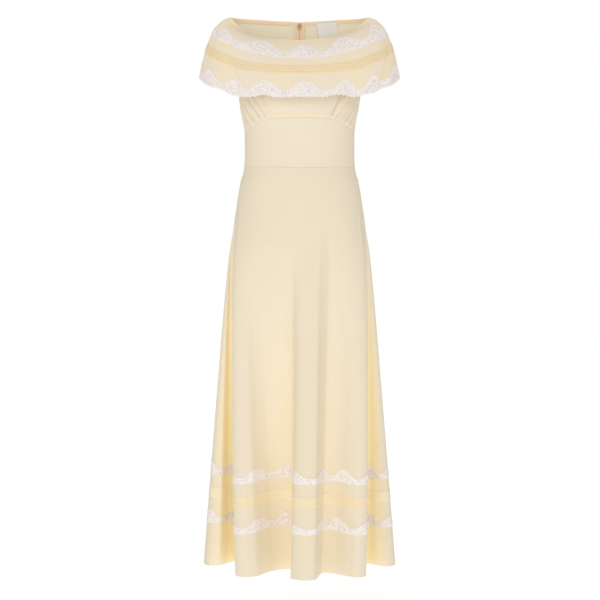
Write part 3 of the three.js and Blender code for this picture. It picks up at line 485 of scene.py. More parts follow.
class BodiceForm(BodyForm):
    """The bodice, whose rows run up from the underbust seam to the neck edge and the armholes."""

    LEVEL = 66.0  # the row up to which rows are level millimetres
    FULL = 126.0  # the row of the top edge

    def __init__(self, collar: CollarForm) -> None:
        """Takes the collar, whose neck edge the bodice shares."""
        self.collar = collar
        self.match = Track(*zip(*NECK_MATCH))
        self.lean = Track(*zip(*LEAN))
        places = [row[0] for row in ARMHOLE]
        self.armhole = [Track(places, [row[axis] for row in ARMHOLE]) for axis in (1, 2, 3)]

    def top(self, at: np.ndarray) -> np.ndarray:
        """Returns the top edge: the neck edge, and the armhole between the shoulder corners."""
        place, way = np.abs(at), np.sign(at)
        hole = np.stack([track(place) for track in self.armhole], axis=-1)
        hole[..., 0] *= way
        neck = self.collar.edge("neck", way * self.match(place))
        neck = neck - NECK_LAYER * neck_outward(neck)
        arm = (place > SHOULDER_FRONT) & (place < SHOULDER_BACK)
        return np.where(arm[..., None], hole, neck)

    def row_below_top(self, at: np.ndarray, below: float) -> np.ndarray:
        """Returns the row that lies so far below the top edge."""
        tall = self.top(at)[..., 2] - self.underbust(np.abs(at)) - self.LEVEL
        return self.FULL - below * (self.FULL - self.LEVEL) / tall

    def height(self, at: np.ndarray, row: np.ndarray) -> np.ndarray:
        """Returns the height of a row above the underbust seam."""
        tall = self.top(at)[..., 2] - self.underbust(np.abs(at))
        spread = np.maximum(0, row - self.LEVEL) / (self.FULL - self.LEVEL)
        level = np.minimum(row, self.LEVEL)
        return level + (tall - level) * spread

    def point(self, at: np.ndarray, row: np.ndarray) -> np.ndarray:
        """Returns the points at the places of the seam and the rows."""
        at, row = np.broadcast_arrays(np.asarray(at, float), np.asarray(row, float))
        foot = at
        height = self.height(at, row)
        lean = np.sign(at) * self.lean(np.abs(at)) * height / LEAN_AT
        at = at + lean * (1 - smooth(height, LEAN_FULL, LEAN_END))
        top, low = self.top(at), self.underbust(np.abs(at))
        spread = np.maximum(0, row - self.LEVEL) / (self.FULL - self.LEVEL)
        level = low + np.minimum(row, self.LEVEL)
        z = level + (top[..., 2] - level) * spread
        point = self.level(at, z)
        leave = np.clip((z - SHELL_BLEND_Z) / np.maximum(top[..., 2] - SHELL_BLEND_Z, 1), 0, 1)
        leave = (leave**2 * (3 - 2 * leave))[..., None]
        point = point * (1 - leave) + np.stack([top[..., 0], top[..., 1], z], axis=-1) * leave
        outward = flat_unit(point[..., 0], point[..., 1] * GATHER_AHEAD)
        fade = smooth(height, 0, GATHER_START) * (1 - smooth(height, GATHER_FADE, GATHER_RISE))
        depth = np.zeros(foot.shape)
        for gather in GATHERS:
            crest = 1 - ((foot - gather.foot) / (gather.half * GATHER_SPREAD)) ** 2
            depth = np.maximum(depth, gather.depth * crest)
        return point + outward * (depth * fade)[..., None]


class SkirtForm(BodyForm):
    """The skirt, whose rows run in millimetres down from the waist seam to the hem."""

    def __init__(self) -> None:
        """Makes the tracks of the fluted hem."""
        places = [flute.at for flute in FLUTES]
        self.hem_x = Track(places, [flute.x for flute in FLUTES])
        self.hem_y = Track(places, [flute.y for flute in FLUTES])
        self.start = Track(places, [flute.start for flute in FLUTES])
        self.deep = Track(places, [flute.deep for flute in FLUTES])
        self.swing = Track(places, [flute.swing for flute in FLUTES])

    def grown(self, at: np.ndarray, share: np.ndarray, power: np.ndarray) -> np.ndarray:
        """Returns how far a fold has grown, from 0 at its start to 1 at the hem."""
        start = self.start(at)
        return np.clip((share - start) / (1 - start), 0, 1) ** power

    def point(self, at: np.ndarray, row: np.ndarray) -> np.ndarray:
        """Returns the points at the places and rows."""
        at, row = np.broadcast_arrays(np.asarray(at, float), np.asarray(row, float))
        share = row / SKIRT_LENGTH
        top = self.waist(np.abs(at))
        point = self.level(at, top + (HEM_Z - top) * share)
        hem = self.level(at, np.full_like(at, HEM_Z))
        point[..., 0] += (self.hem_x(at) - hem[..., 0]) * self.grown(at, share, self.swing(at))
        point[..., 1] += (self.hem_y(at) - hem[..., 1]) * self.grown(at, share, FLUTE_GROWTH)
        return point


def loops(at: np.ndarray, pitch: float, tall: float) -> np.ndarray:
    """Returns the small uneven loops along a lace's edge, one for each pitch in degrees."""
    uneven = 1 - LOOP_UNEVEN + LOOP_UNEVEN * np.sin(np.radians(at) * LOOP_BEAT)
    return -tall * uneven * np.abs(np.cos(np.pi * at / pitch))


def wave(peaks: tuple[tuple[float, float], ...], at: np.ndarray) -> np.ndarray:
    """Returns the height of a lace's wave, full on a peak and 0 half way to the next."""
    place = np.interp(at, [peak[0] for peak in peaks], np.arange(len(peaks)))
    tall = np.array([peak[1] for peak in peaks])[np.rint(place).astype(int)]
    return tall * (0.5 + 0.5 * np.cos(2 * np.pi * place)) ** WAVE_POWER


skirt_rise = Track(*zip(*SKIRT_RISE))
collar_rise = Track(*zip(*COLLAR_RISE))
hem_rise = Track(*zip(*COLLAR_HEM_RISE))
level_rise = Track([-BACK, BACK], [0, 0])


# Colours and finishes

WAVES = 20  # bands to a metre in a wave texture at scale 1
LIGHT_TONE = 0.6  # the tone at which a cotton has its light colour, a painted light, where it has one
PALE_TONE = 0.35  # the tone at which a cotton has its plain colour; less is greyer, more is deeper


def srgb(code: str) -> tuple[float, float, float, float]:
    """Turns a hex colour of the screen to the linear colour of a shader."""
    parts = [int(code[i : i + 2], 16) / 255 for i in (1, 3, 5)]
    red, green, blue = (p / 12.92 if p <= 0.04045 else ((p + 0.055) / 1.055) ** 2.4 for p in parts)
    return red, green, blue, 1.0


def add(tree: bpy.types.NodeTree, kind: str, values: dict) -> bpy.types.Node:
    """Adds a node.

    Args:
        tree: The material's node tree.
        kind: The node's type.
        values: Its properties by name, then its inputs by name or number. An input takes a plain
            value or the output of another node.

    Returns:
        The node.
    """
    node = tree.nodes.new(kind)
    for name, value in values.items():
        if isinstance(value, bpy.types.NodeSocket):
            tree.links.new(value, node.inputs[name])
        elif isinstance(name, str) and hasattr(node, name):
            setattr(node, name, value)
        else:
            node.inputs[name].default_value = value
    return node


def calc(
    tree: bpy.types.NodeTree, operation: str, *values: float | bpy.types.NodeSocket, clamp: bool = False
) -> bpy.types.NodeSocket:
    """Adds a Math node.

    Args:
        tree: The material's node tree.
        operation: What it works out.
        values: Its inputs in order.
        clamp: True where the result is kept from 0 to 1.

    Returns:
        Its output.
    """
    settings = {"operation": operation, "use_clamp": clamp, **dict(enumerate(values))}
    return add(tree, "ShaderNodeMath", settings).outputs[0]


def mix(
    tree: bpy.types.NodeTree,
    share: float | bpy.types.NodeSocket,
    first: tuple | bpy.types.NodeSocket,
    second: tuple | bpy.types.NodeSocket,
    blend: str = "MIX",
) -> bpy.types.NodeSocket:
    """Adds a Mix node for two colours, whose sockets go by number, and returns its colour."""
    values = {"data_type": "RGBA", "blend_type": blend, 0: share, 6: first, 7: second}
    return add(tree, "ShaderNodeMix", values).outputs[2]


def cloth_values(tree: bpy.types.NodeTree) -> tuple[bpy.types.NodeSocket, bpy.types.NodeSocket]:
    """Reads what a sheet carries: its cut's coordinates in metres, and its tone."""
    uv = add(tree, "ShaderNodeUVMap", {"uv_map": "cut"}).outputs["UV"]
    tone = add(tree, "ShaderNodeAttribute", {"attribute_name": "tone"}).outputs["Fac"]
    return uv, tone


def weave(tree: bpy.types.NodeTree, uv: bpy.types.NodeSocket, thread: float) -> bpy.types.NodeSocket:
    """Adds a plain weave of warp and weft.

    Args:
        tree: The material's node tree.
        uv: The cut's coordinates in metres.
        thread: The thread spacing in millimetres.

    Returns:
        The height of the threads.
    """
    scale = 1 / (thread * MM) / WAVES
    values = {"Scale": scale, "Distortion": 0.6, "Detail": 1.0, "Vector": uv}
    threads = [
        add(tree, "ShaderNodeTexWave", {"bands_direction": way, **values}).outputs["Fac"]
        for way in ("X", "Y")
    ]
    return calc(tree, "MAXIMUM", *threads)


@dataclass(frozen=True)
class Finish:
    """A finish of the dress: its name, its slot in the record and its shader's plain values."""

    name: str
    slot: str
    rough: float
    metal: float = 0.0

    def start(self) -> tuple[bpy.types.Material, bpy.types.NodeTree, bpy.types.Node]:
        """Makes the material, with its shader set to the plain values."""
        material = bpy.data.materials.new(self.name)
        material.use_nodes = True
        tree = material.node_tree
        tree.nodes.clear()
        values = {"Roughness": self.rough, "Metallic": self.metal}
        shader = add(tree, "ShaderNodeBsdfPrincipled", values)
        add(tree, "ShaderNodeOutputMaterial", {"Surface": shader.outputs["BSDF"]})
        return material, tree, shader


@dataclass(frozen=True)
class Cotton(Finish):
    """Plain woven cotton, piece dyed: fine threads with a few thicker ones, and a matt face.

    Its colour follows the tone of the sheet, which also paints in light and shade: from shade over pale,
    and light where it has one, to deep.
    """

    SLUBS = (25.0, 350.0, 1.0)  # thicker threads to a metre, along them and across
    CLOUDS = 9.0  # soft patches to a metre
    DRIFT = 0.1  # how far the patches shift the tone
    THINNING = 0.05  # how far the thicker threads shade the colour
    RELIEF = 0.0002  # metres

    shade: str = "#e6dabf"
    pale: str = "#ecdfc8"
    deep: str = "#f2ddad"
    light: str = ""
    thread: float = 0.9  # mm, twice the real spacing, so that the weave shows at all
    bump: float = 0.15

    def build(self) -> bpy.types.Material:
        """Returns the material."""
        material, tree, shader = self.start()
        uv, tone = cloth_values(tree)
        slubs = add(tree, "ShaderNodeMapping", {"Scale": self.SLUBS, "Vector": uv}).outputs[0]
        streak = add(tree, "ShaderNodeTexNoise", {"Scale": 1.0, "Detail": 2.0, "Vector": slubs})
        cloud = add(tree, "ShaderNodeTexNoise", {"Scale": self.CLOUDS, "Detail": 2.0, "Vector": uv})
        drift = calc(tree, "MULTIPLY_ADD", cloud.outputs["Fac"], self.DRIFT, -self.DRIFT / 2)
        colour = add(tree, "ShaderNodeValToRGB", {0: calc(tree, "ADD", tone, drift, clamp=True)})
        ramp = colour.color_ramp
        ramp.elements[0].color, ramp.elements[1].color = srgb(self.shade), srgb(self.deep)
        ramp.elements.new(PALE_TONE).color = srgb(self.pale)
        if self.light:
            ramp.elements.new(LIGHT_TONE).color = srgb(self.light)
        thin = calc(tree, "MULTIPLY_ADD", streak.outputs["Fac"], self.THINNING, 1 - self.THINNING / 2)
        base = mix(tree, 1.0, colour.outputs[0], thin, "MULTIPLY")
        tree.links.new(base, shader.inputs["Base Color"])
        height = weave(tree, uv, self.thread)
        values = {"Strength": self.bump, "Distance": self.RELIEF, "Height": height}
        tree.links.new(add(tree, "ShaderNodeBump", values).outputs[0], shader.inputs["Normal"])
        return material


@dataclass(frozen=True)
class Holes:
    """The holes of a lace's pattern: how far apart, how wide and how dark they are.

    A hole is whole up to the share low of its pitch, and ends at the share high.
    """

    pitch: float
    low: float
    high: float
    dark: float

    def build(self, tree: bpy.types.NodeTree, uv: bpy.types.NodeSocket) -> bpy.types.NodeSocket:
        """Returns how far each place lies in a hole."""
        cells = add(
            tree, "ShaderNodeTexVoronoi", {"feature": "F1", "Scale": 1 / (self.pitch * MM), "Vector": uv}
        )
        span = {"From Min": self.low, "From Max": self.high, "To Min": self.dark, "To Max": 0.0}
        return add(tree, "ShaderNodeMapRange", {**span, "Value": cells.outputs["Distance"]}).outputs[0]


@dataclass(frozen=True)
class CottonLace(Finish):
    """Machine-made cotton lace: a close net with small eyelets, raised and whiter than the cloth, with
    painted shade in its holes.
    """

    BUMP = 0.6
    RELIEF = 0.0006  # metres

    thread_colour: str = "#f6eee8"
    # the cloth seen through the holes, darkened with painted shade
    gap_colour: str = "#dfcbb9"
    net: Holes = Holes(4.6, 0.2, 0.46, 0.85)
    eyelets: Holes = Holes(8.5, 0.12, 0.26, 0.6)

    def build(self) -> bpy.types.Material:
        """Returns the material."""
        material, tree, shader = self.start()
        uv, tone = cloth_values(tree)
        most = calc(tree, "MAXIMUM", self.net.build(tree, uv), self.eyelets.build(tree, uv))
        gap = calc(tree, "MULTIPLY", most, tone)
        colour = mix(tree, gap, srgb(self.thread_colour), srgb(self.gap_colour))
        tree.links.new(colour, shader.inputs["Base Color"])
        values = {"invert": True, "Strength": self.BUMP, "Distance": self.RELIEF, "Height": gap}
        tree.links.new(add(tree, "ShaderNodeBump", values).outputs[0], shader.inputs["Normal"])
        return material


@dataclass(frozen=True)
class Metal(Finish):
    """Antique brass, die cast, plated and worn: its colour goes between bright and worn in patches."""

    GRAIN = 600.0  # patches of wear to a metre

    colour: str = "#e8c592"
    worn: str = "#b38a5c"

    def build(self) -> bpy.types.Material:
        """Returns the material."""
        material, tree, shader = self.start()
        place = add(tree, "ShaderNodeTexCoord", {}).outputs["Object"]
        cloud = add(tree, "ShaderNodeTexNoise", {"Scale": self.GRAIN, "Detail": 3.0, "Vector": place})
        colour = mix(tree, cloud.outputs["Fac"], srgb(self.worn), srgb(self.colour))
        tree.links.new(colour, shader.inputs["Base Color"])
        return material


COTTON = Cotton("cotton_plain_weave", "cloth", rough=0.8)
# The cape's copy of the cotton is painted lighter, a painted light, for the cape lies towards the sky
# and takes less of the light from the floor
CAPE_PAINTED_LIGHT = Cotton(
    "cotton_cape_painted_light", "cloth", rough=0.8, shade="#eaddc6", pale="#f2e5ce", deep="#f8e2b4"
)
# The skirt's cotton, with painted light and shade: lighter and warmer in the flutes' valleys, in place
# of the light that comes through the layers of the flutes, and greyer on the middle crest and the sides
FLUTE_PAINTED_SHADING = Cotton(
    "cotton_flute_painted_shading", "cloth", rough=0.8, shade="#e9dbb6", pale="#ecdfc5",
    light="#f5e7ca", deep="#fff0c8",
)
# The bodice's, with painted shade, dark, in the creases of its gathers, and painted light, paler, under
# the collar and inside the back neck
BODICE_PAINTED_SHADING = Cotton(
    "cotton_bodice_painted_shading", "cloth", rough=0.8, shade="#c6a76c", pale="#ecdfc8", deep="#fff3d6"
)
# The tucks' cotton, with painted shade, amber, in their grooves, and painted light, paler, where a fold
# shelters them
TUCKS_PAINTED_SHADING = Cotton(
    "cotton_tucks_painted_shading", "doubled_cloth", rough=0.8, shade="#fff2d2", pale="#f3e2bd", deep="#ebbf74"
)
SEAM_BAND = Cotton(
    "cotton_seam_band", "doubled_cloth", rough=0.8, shade="#ebddc6", pale="#ecdec6", deep="#f3e1bc"
)
LACE = CottonLace("cotton_lace", "lace", rough=0.85)
TAPE = Cotton(
    "cotton_tape", "tape", rough=0.75, shade="#ffe6c4", pale="#ffe2ba", deep="#f0cd9a", thread=0.7,
    bump=0.5,
)
# The label's satin, whose deep colour is painted shade at the label's folded ends
SATIN = Cotton(
    "polyester_satin", "label", rough=0.45, shade="#f6f3ea", pale="#f1eee4", deep="#d8d3c4", thread=0.6
)
BRASS = Metal("brass_antique", "brass", rough=0.35, metal=1.0)


# Meshes

DRESS = "dress"
RIM_ANGLE = 50.0  # degrees above which an edge stays sharp

# Walls of the visible sheets, and how far they lie from the middle of the cloth below, in millimetres
PANEL_WALL = 0.8
TRIM_WALL = 0.7
TRIM_LIFT = 0.6
BAND_WALL = 0.5
BAND_LIFT = 0.15
TUCK_WALL = 0.4
BINDING_WALL = 0.5
TAPE_WALL = 0.6
LABEL_WALL = 0.4

# How finely the surfaces are cut: rows of points, and degrees between their columns
COLLAR_ROWS, COLLAR_STEP = 60, 0.75
BODICE_LEVEL_ROWS, BODICE_TOP_ROWS, BODICE_STEP = 34, 26, 0.36
MIDRIFF_ROWS, MIDRIFF_STEP = 24, 1.0
MIDRIFF_EDGE = 0.3  # millimetres between the midriff's edges and its seams
SKIRT_ROWS, SKIRT_STEP = 104, 0.6

# Limits on the stated cut of a sheet: its least size in metres, and its least share of its rectangle
NARROWEST = 0.0101
LEAST_AREA = 0.31


def new_object(
    name: str, points: np.ndarray, faces: list, cut: np.ndarray, tone: np.ndarray
) -> bpy.types.Object:
    """Makes an object from points and faces.

    Args:
        name: The object's name.
        points: The points in millimetres.
        faces: The faces, as lists of point numbers.
        cut: Each point's place on the cut cloth, in millimetres.
        tone: How deep the colour is at each point, from 0 to 1.

    Returns:
        The object, linked to the scene.
    """
    mesh = bpy.data.meshes.new(name)
    mesh.from_pydata((points * MM).tolist(), [], faces)
    layer = mesh.uv_layers.new(name="cut")
    corners = np.zeros(len(mesh.loops), int)
    mesh.loops.foreach_get("vertex_index", corners)
    layer.data.foreach_set("uv", (cut[corners] * MM).astype(np.float32).ravel())
    mesh.attributes.new("tone", "FLOAT", "POINT").data.foreach_set("value", tone.astype(np.float32))
    mesh.shade_smooth()
    thing = bpy.data.objects.new(name, mesh)
    bpy.context.scene.collection.objects.link(thing)
    return thing


def grid_faces(columns: int, rows: int, flip: bool) -> list:
    """Returns the faces of a grid whose points run along each column in turn."""
    i, j = np.meshgrid(np.arange(columns - 1), np.arange(rows - 1), indexing="ij")
    a = i * rows + j
    quads = np.stack([a, a + rows, a + rows + 1, a + 1], axis=-1).reshape(-1, 4)
    return (quads[:, ::-1] if flip else quads).tolist()


def cut_of(points: np.ndarray) -> np.ndarray:
    """Lays a grid of points flat: along each row from the middle column, and down each column."""
    across = np.linalg.norm(np.diff(points, axis=0), axis=-1)
    across = np.concatenate([np.zeros((1, points.shape[1])), np.cumsum(across, axis=0)])
    across -= across[len(across) // 2]
    along = np.linalg.norm(np.diff(points, axis=1), axis=-1)
    along = np.concatenate([np.zeros((points.shape[0], 1)), np.cumsum(along, axis=1)], axis=1)
    return np.stack([across, along], axis=-1)


def thicken(thing: bpy.types.Object, wall: float) -> None:
    """Gives a sheet its thickness, in millimetres, with closed edges."""
    solid = thing.modifiers.new("wall", "SOLIDIFY")
    solid.thickness = wall * MM
    solid.offset = 0.0
    solid.use_even_offset = False
    solid.use_rim = True
    bpy.ops.object.select_all(action="DESELECT")
    thing.select_set(True)
    bpy.context.view_layer.objects.active = thing
    bpy.ops.object.modifier_apply(modifier=solid.name)


def cloth_sheet(
    name: str, points: np.ndarray, tone: np.ndarray, wall: float, flip: bool
) -> bpy.types.Object:
    """Makes a cloth sheet from a grid of points.

    Args:
        name: The sheet's name.
        points: The points, column by column, in millimetres.
        tone: How deep the colour is at each point.
        wall: The thickness in millimetres.
        flip: True where the rows run down, so that the faces point out.

    Returns:
        The object.
    """
    columns, rows = points.shape[:2]
    faces = grid_faces(columns, rows, flip)
    cut = cut_of(points)
    thing = new_object(name, points.reshape(-1, 3), faces, cut.reshape(-1, 2), tone.ravel())
    thicken(thing, wall)
    bpy.ops.object.shade_smooth_by_angle(angle=np.radians(RIM_ANGLE))
    return thing


def runs_down(points: np.ndarray) -> bool:
    """Returns whether the rows of a grid of points run down."""
    return points[0, -1, 2] < points[0, 0, 2]


def flat_size(points: np.ndarray) -> tuple[tuple[float, float], float]:
    """Measures a grid of points as cloth that is laid flat.

    Returns:
        Its width and length, and its area, in metres.
    """
    cut = cut_of(points) * MM
    width = float((cut[-1, :, 0] - cut[0, :, 0]).max())
    length = float(cut[:, -1, 1].max())
    low, right = points[:-1, :-1], points[1:, :-1] - points[:-1, :-1]
    up = points[:-1, 1:] - low
    area = float(np.linalg.norm(np.cross(right, up), axis=-1).sum()) * MM * MM
    return (width, length), area


def columns_between(start: float, end: float, step: float) -> np.ndarray:
    """Returns evenly spaced places from start to end."""
    return np.linspace(start, end, max(2, int(round((end - start) / step)) + 1))


@dataclass
class Dresser:
    """Gives finished pieces their material and body, measures their cloth, and reports them."""

    materials: dict = field(default_factory=dict)

    def finish(self, thing: bpy.types.Object, finish: Finish, body: str, nodes: tuple[str, ...]) -> None:
        """Dresses a piece.

        Args:
            thing: The piece.
            finish: Its finish.
            body: The body that it rides on.
            nodes: The solids that it stands for.
        """
        if finish.name not in self.materials:
            self.materials[finish.name] = finish.build()
        thing.data.materials.clear()
        thing.data.materials.append(self.materials[finish.name])
        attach(thing, body)
        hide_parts(*nodes)
        log.info("%s: %d faces", thing.name, len(thing.data.polygons))

    def sheet(self, thing: bpy.types.Object, points: np.ndarray, held: str) -> None:
        """Measures a piece as a sheet of cloth, from the cut of its points."""
        (width, length), area = flat_size(points)
        width, length = max(width, NARROWEST), max(length, NARROWEST)
        area = min(max(area, LEAST_AREA * width * length), width * length)


Edges = Callable[[np.ndarray], tuple[np.ndarray, np.ndarray]]
Tone = Callable[[np.ndarray, np.ndarray], np.ndarray]


@dataclass
class Panels:
    """The panels of one surface, cut at its seams.

    Attributes:
        form: The surface.
        rows: The rows of its points.
        step: The degrees between its columns.
        gap: The degrees between a panel's edge and its seam.
        loop: The degrees from one small loop of a lace to the next.
        line: The tone of the painted shade in the grooves between tucks.
        fold: How far the tucks stand out, in millimetres.
        dresser: Dresses the pieces.
    """

    LACE_ROWS = 13
    BAND_ROWS = 5
    TOP_LOOP = 0.6  # height of the loops along a lace's wavy edge, in millimetres
    FOOT_LOOP = 0.15  # and along its lower edge
    FOOT_PITCH = 1.3  # how much longer those are
    PATTERN = (1.35, 1.9, 0.2)  # a lace pattern's strength in its middle, its fall and its least
    SHELTER_LOSS = 1.4  # how fast a fold's shelter takes away the plain tone of the tucks, which paints light into them there
    GROOVE = (0.05, 0.5)  # shares of a tuck's height between which the painted shade of its groove ends

    form: Form
    rows: np.ndarray
    step: float
    gap: float = 0.01
    loop: float = 1.2
    line: float = 0.85
    fold: float = 0.7
    dresser: Dresser = field(default_factory=Dresser)

    def tone(self, at: np.ndarray, row: np.ndarray) -> np.ndarray:
        """Returns how deep the colour is."""
        raise NotImplementedError

    def shelter(self, at: np.ndarray, row: np.ndarray) -> np.ndarray:
        """Returns how far the cloth lies in a fold's shelter, where the tucks get painted light."""
        return np.zeros(np.broadcast(at, row).shape)

    def panel(
        self,
        name: str,
        start: float,
        end: float,
        held: str,
        finish: Finish = COTTON,
        step: float | None = None,
    ) -> None:
        """Makes one panel, which stands for the solid of the same name.

        Args:
            name: The solid's name.
            start: The place where it starts.
            end: The place where it ends.
            held: How its cloth is held; not used.
            finish: Its finish.
            step: The degrees between its columns, if they differ from the other panels'.
        """
        columns = columns_between(start + self.gap, end - self.gap, step or self.step)
        at, row = np.meshgrid(columns, self.rows, indexing="ij")
        points = self.form.point(at, row)
        thing = cloth_sheet(f"{name}_cloth", points, self.tone(at, row), PANEL_WALL, runs_down(points))
        self.dresser.finish(thing, finish, DRESS, (name,))
        self.dresser.sheet(thing, points, held)

    def trim(
        self,
        name: str,
        columns: np.ndarray,
        rows: int,
        edges: Edges,
        tone: Tone,
        *,
        finish: Finish = SEAM_BAND,
        held: str = "stretched",
        lift: float = BAND_LIFT,
        wall: float = BAND_WALL,
    ) -> None:
        """Makes a trim that lies on the surface, which stands for the solid of the same name.

        Args:
            name: The solid's name.
            columns: The places of its columns.
            rows: How many rows of points it has.
            edges: Gives the two rows of its edges at an array of places.
            tone: Gives the tone at places and shares of the height.
            finish: Its finish.
            held: How its cloth is held; not used.
            lift: How far its near face lies from the cloth's middle.
            wall: Its thickness.
        """
        low, high = edges(columns)
        share = np.linspace(0, 1, rows)
        at = np.repeat(columns[:, None], rows, axis=1)
        row = low[:, None] + (high - low)[:, None] * share[None, :]
        middle, normal = self.form.frame(at, row)
        points = middle + normal * (lift + wall / 2)
        shade = tone(at, np.broadcast_to(share, at.shape))
        thing = cloth_sheet(f"{name}_trim", points, shade, wall, runs_down(points))
        self.dresser.finish(thing, finish, DRESS, (name,))
        self.dresser.sheet(thing, points, held)

    def lace(
        self,
        name: str,
        peaks: tuple[tuple[float, float], ...],
        rows: tuple[float, float, float],
        rise: Track,
        foot_rise: Track | None = None,
        hem_bump: float = 0.0,
    ) -> None:
        """Makes a lace all the way round, wavy above and with small loops along its edges.

        Args:
            name: The lace's name.
            peaks: Its peaks.
            rows: The rows of its peaks, its valleys and its lower edge.
            rise: How far it lies above its level, round the body.
            foot_rise: The same for its lower edge, if it differs.
            hem_bump: How deep the scallops of its lower edge are.
        """
        peak, valley, low = rows

        def edges(at: np.ndarray) -> tuple[np.ndarray, np.ndarray]:
            """Returns the rows of the lace's two edges."""
            top = valley + (peak - valley) * wave(peaks, at) - rise(at)
            top = top + loops(at, self.loop, self.TOP_LOOP)
            foot = low - (foot_rise or rise)(at)
            foot = foot - loops(at, self.loop * self.FOOT_PITCH, self.FOOT_LOOP)
            return top, foot + hem_bump * np.abs(np.sin(np.pi * at / HEM_SCALLOP))

        def tone(at: np.ndarray, share: np.ndarray) -> np.ndarray:
            """Returns the strength of the pattern, which fades towards the corded edges."""
            middle, fall, least = self.PATTERN
            return np.clip(middle - fall * np.abs(share - 0.5), least, 1)

        columns = columns_between(BACK_GAP - BACK, BACK - BACK_GAP, self.loop / 3)
        self.trim(
            name, columns, self.LACE_ROWS, edges, tone,
            finish=LACE, held="gathered", lift=TRIM_LIFT, wall=TRIM_WALL,
        )

    def tucks(self, name: str, top: float, pitch: float, rise: Track) -> None:
        """Makes a band of tucks: soft folds that lie down one over the other.

        Args:
            name: The band's name.
            top: The row of its upper edge.
            pitch: The distance between two tucks.
            rise: How far it lies above its level, round the body.
        """
        fold = np.array(TUCK_FOLD)
        rows = [top + (k + fold[:, 0]) * pitch for k in range(TUCK_COUNT)]
        rows = np.concatenate([*rows, [top + TUCK_COUNT * pitch]])
        lift = self.fold * np.concatenate([fold[:, 1]] * TUCK_COUNT + [fold[:1, 1]])
        columns = columns_between(BACK_GAP - BACK, BACK - BACK_GAP, self.step)
        at, row = np.meshgrid(columns, rows, indexing="ij")
        middle, normal = self.form.frame(at, row - rise(at))
        points = middle + normal * (TRIM_LIFT + lift[None, :, None])
        # Painted light in a fold's shelter, and painted shade in the grooves
        base = PALE_TONE * np.maximum(0, 1 - self.SHELTER_LOSS * self.shelter(at, row))
        groove = 1 - smooth(lift / self.fold, *self.GROOVE)
        shade = base + (self.line - base) * groove[None, :]
        thing = cloth_sheet(f"{name}_trim", points, shade, TUCK_WALL, True)
        self.dresser.finish(thing, TUCKS_PAINTED_SHADING, DRESS, (name,))
        self.dresser.sheet(thing, points, "gathered")


@dataclass
class Collar(Panels):
    """The cape collar with its lace and its tucks."""

    BASE_TONE = PALE_TONE + 0.12
    NECK_TONE = 0.1  # what the neck edge adds
    NECK_ROWS = 20  # the row where that ends
    FOLD_TONE = 0.03  # painted shading: what each millimetre of a fold takes away, so creases are warmer and ridges greyer
    SCALLOP = 3.6  # depth of the hem's scallops

    lace_upper: tuple[float, float, float] = (20, 42.5, 58)
    lace_lower: tuple[float, float, float] = (116, 138, 152)
    tucks_from: float = 76.5
    tucks_pitch: float = 4.0

    def tone(self, at: np.ndarray, row: np.ndarray) -> np.ndarray:
        """Returns how deep the colour is: more towards the neck edge, and painted shading along the
        folds.
        """
        deep = self.BASE_TONE + self.NECK_TONE * (1 - smooth(row, 0, self.NECK_ROWS))
        for fold in COLLAR_FOLDS:
            place = fold.at + (fold.to - fold.at) * row / COLLAR_LENGTH
            deep = deep - self.FOLD_TONE * fold.depth * bell(at - place, fold.width)
        return np.clip(deep, 0, 1)

    def build(self) -> None:
        """Makes every piece of the collar."""
        self.panel("collar_front", -SIDE, SIDE, "draped", CAPE_PAINTED_LIGHT)
        self.panel("collar_back_left", -BACK, -SIDE, "draped", CAPE_PAINTED_LIGHT)
        self.panel("collar_back_right", SIDE, BACK, "draped", CAPE_PAINTED_LIGHT)
        self.lace("collar_lace_upper", COLLAR_LACE_UPPER, self.lace_upper, collar_rise)
        self.lace(
            "collar_lace_lower", COLLAR_LACE_LOWER, self.lace_lower, level_rise, hem_rise, self.SCALLOP
        )
        self.tucks("collar_tucks", self.tucks_from, self.tucks_pitch, level_rise)


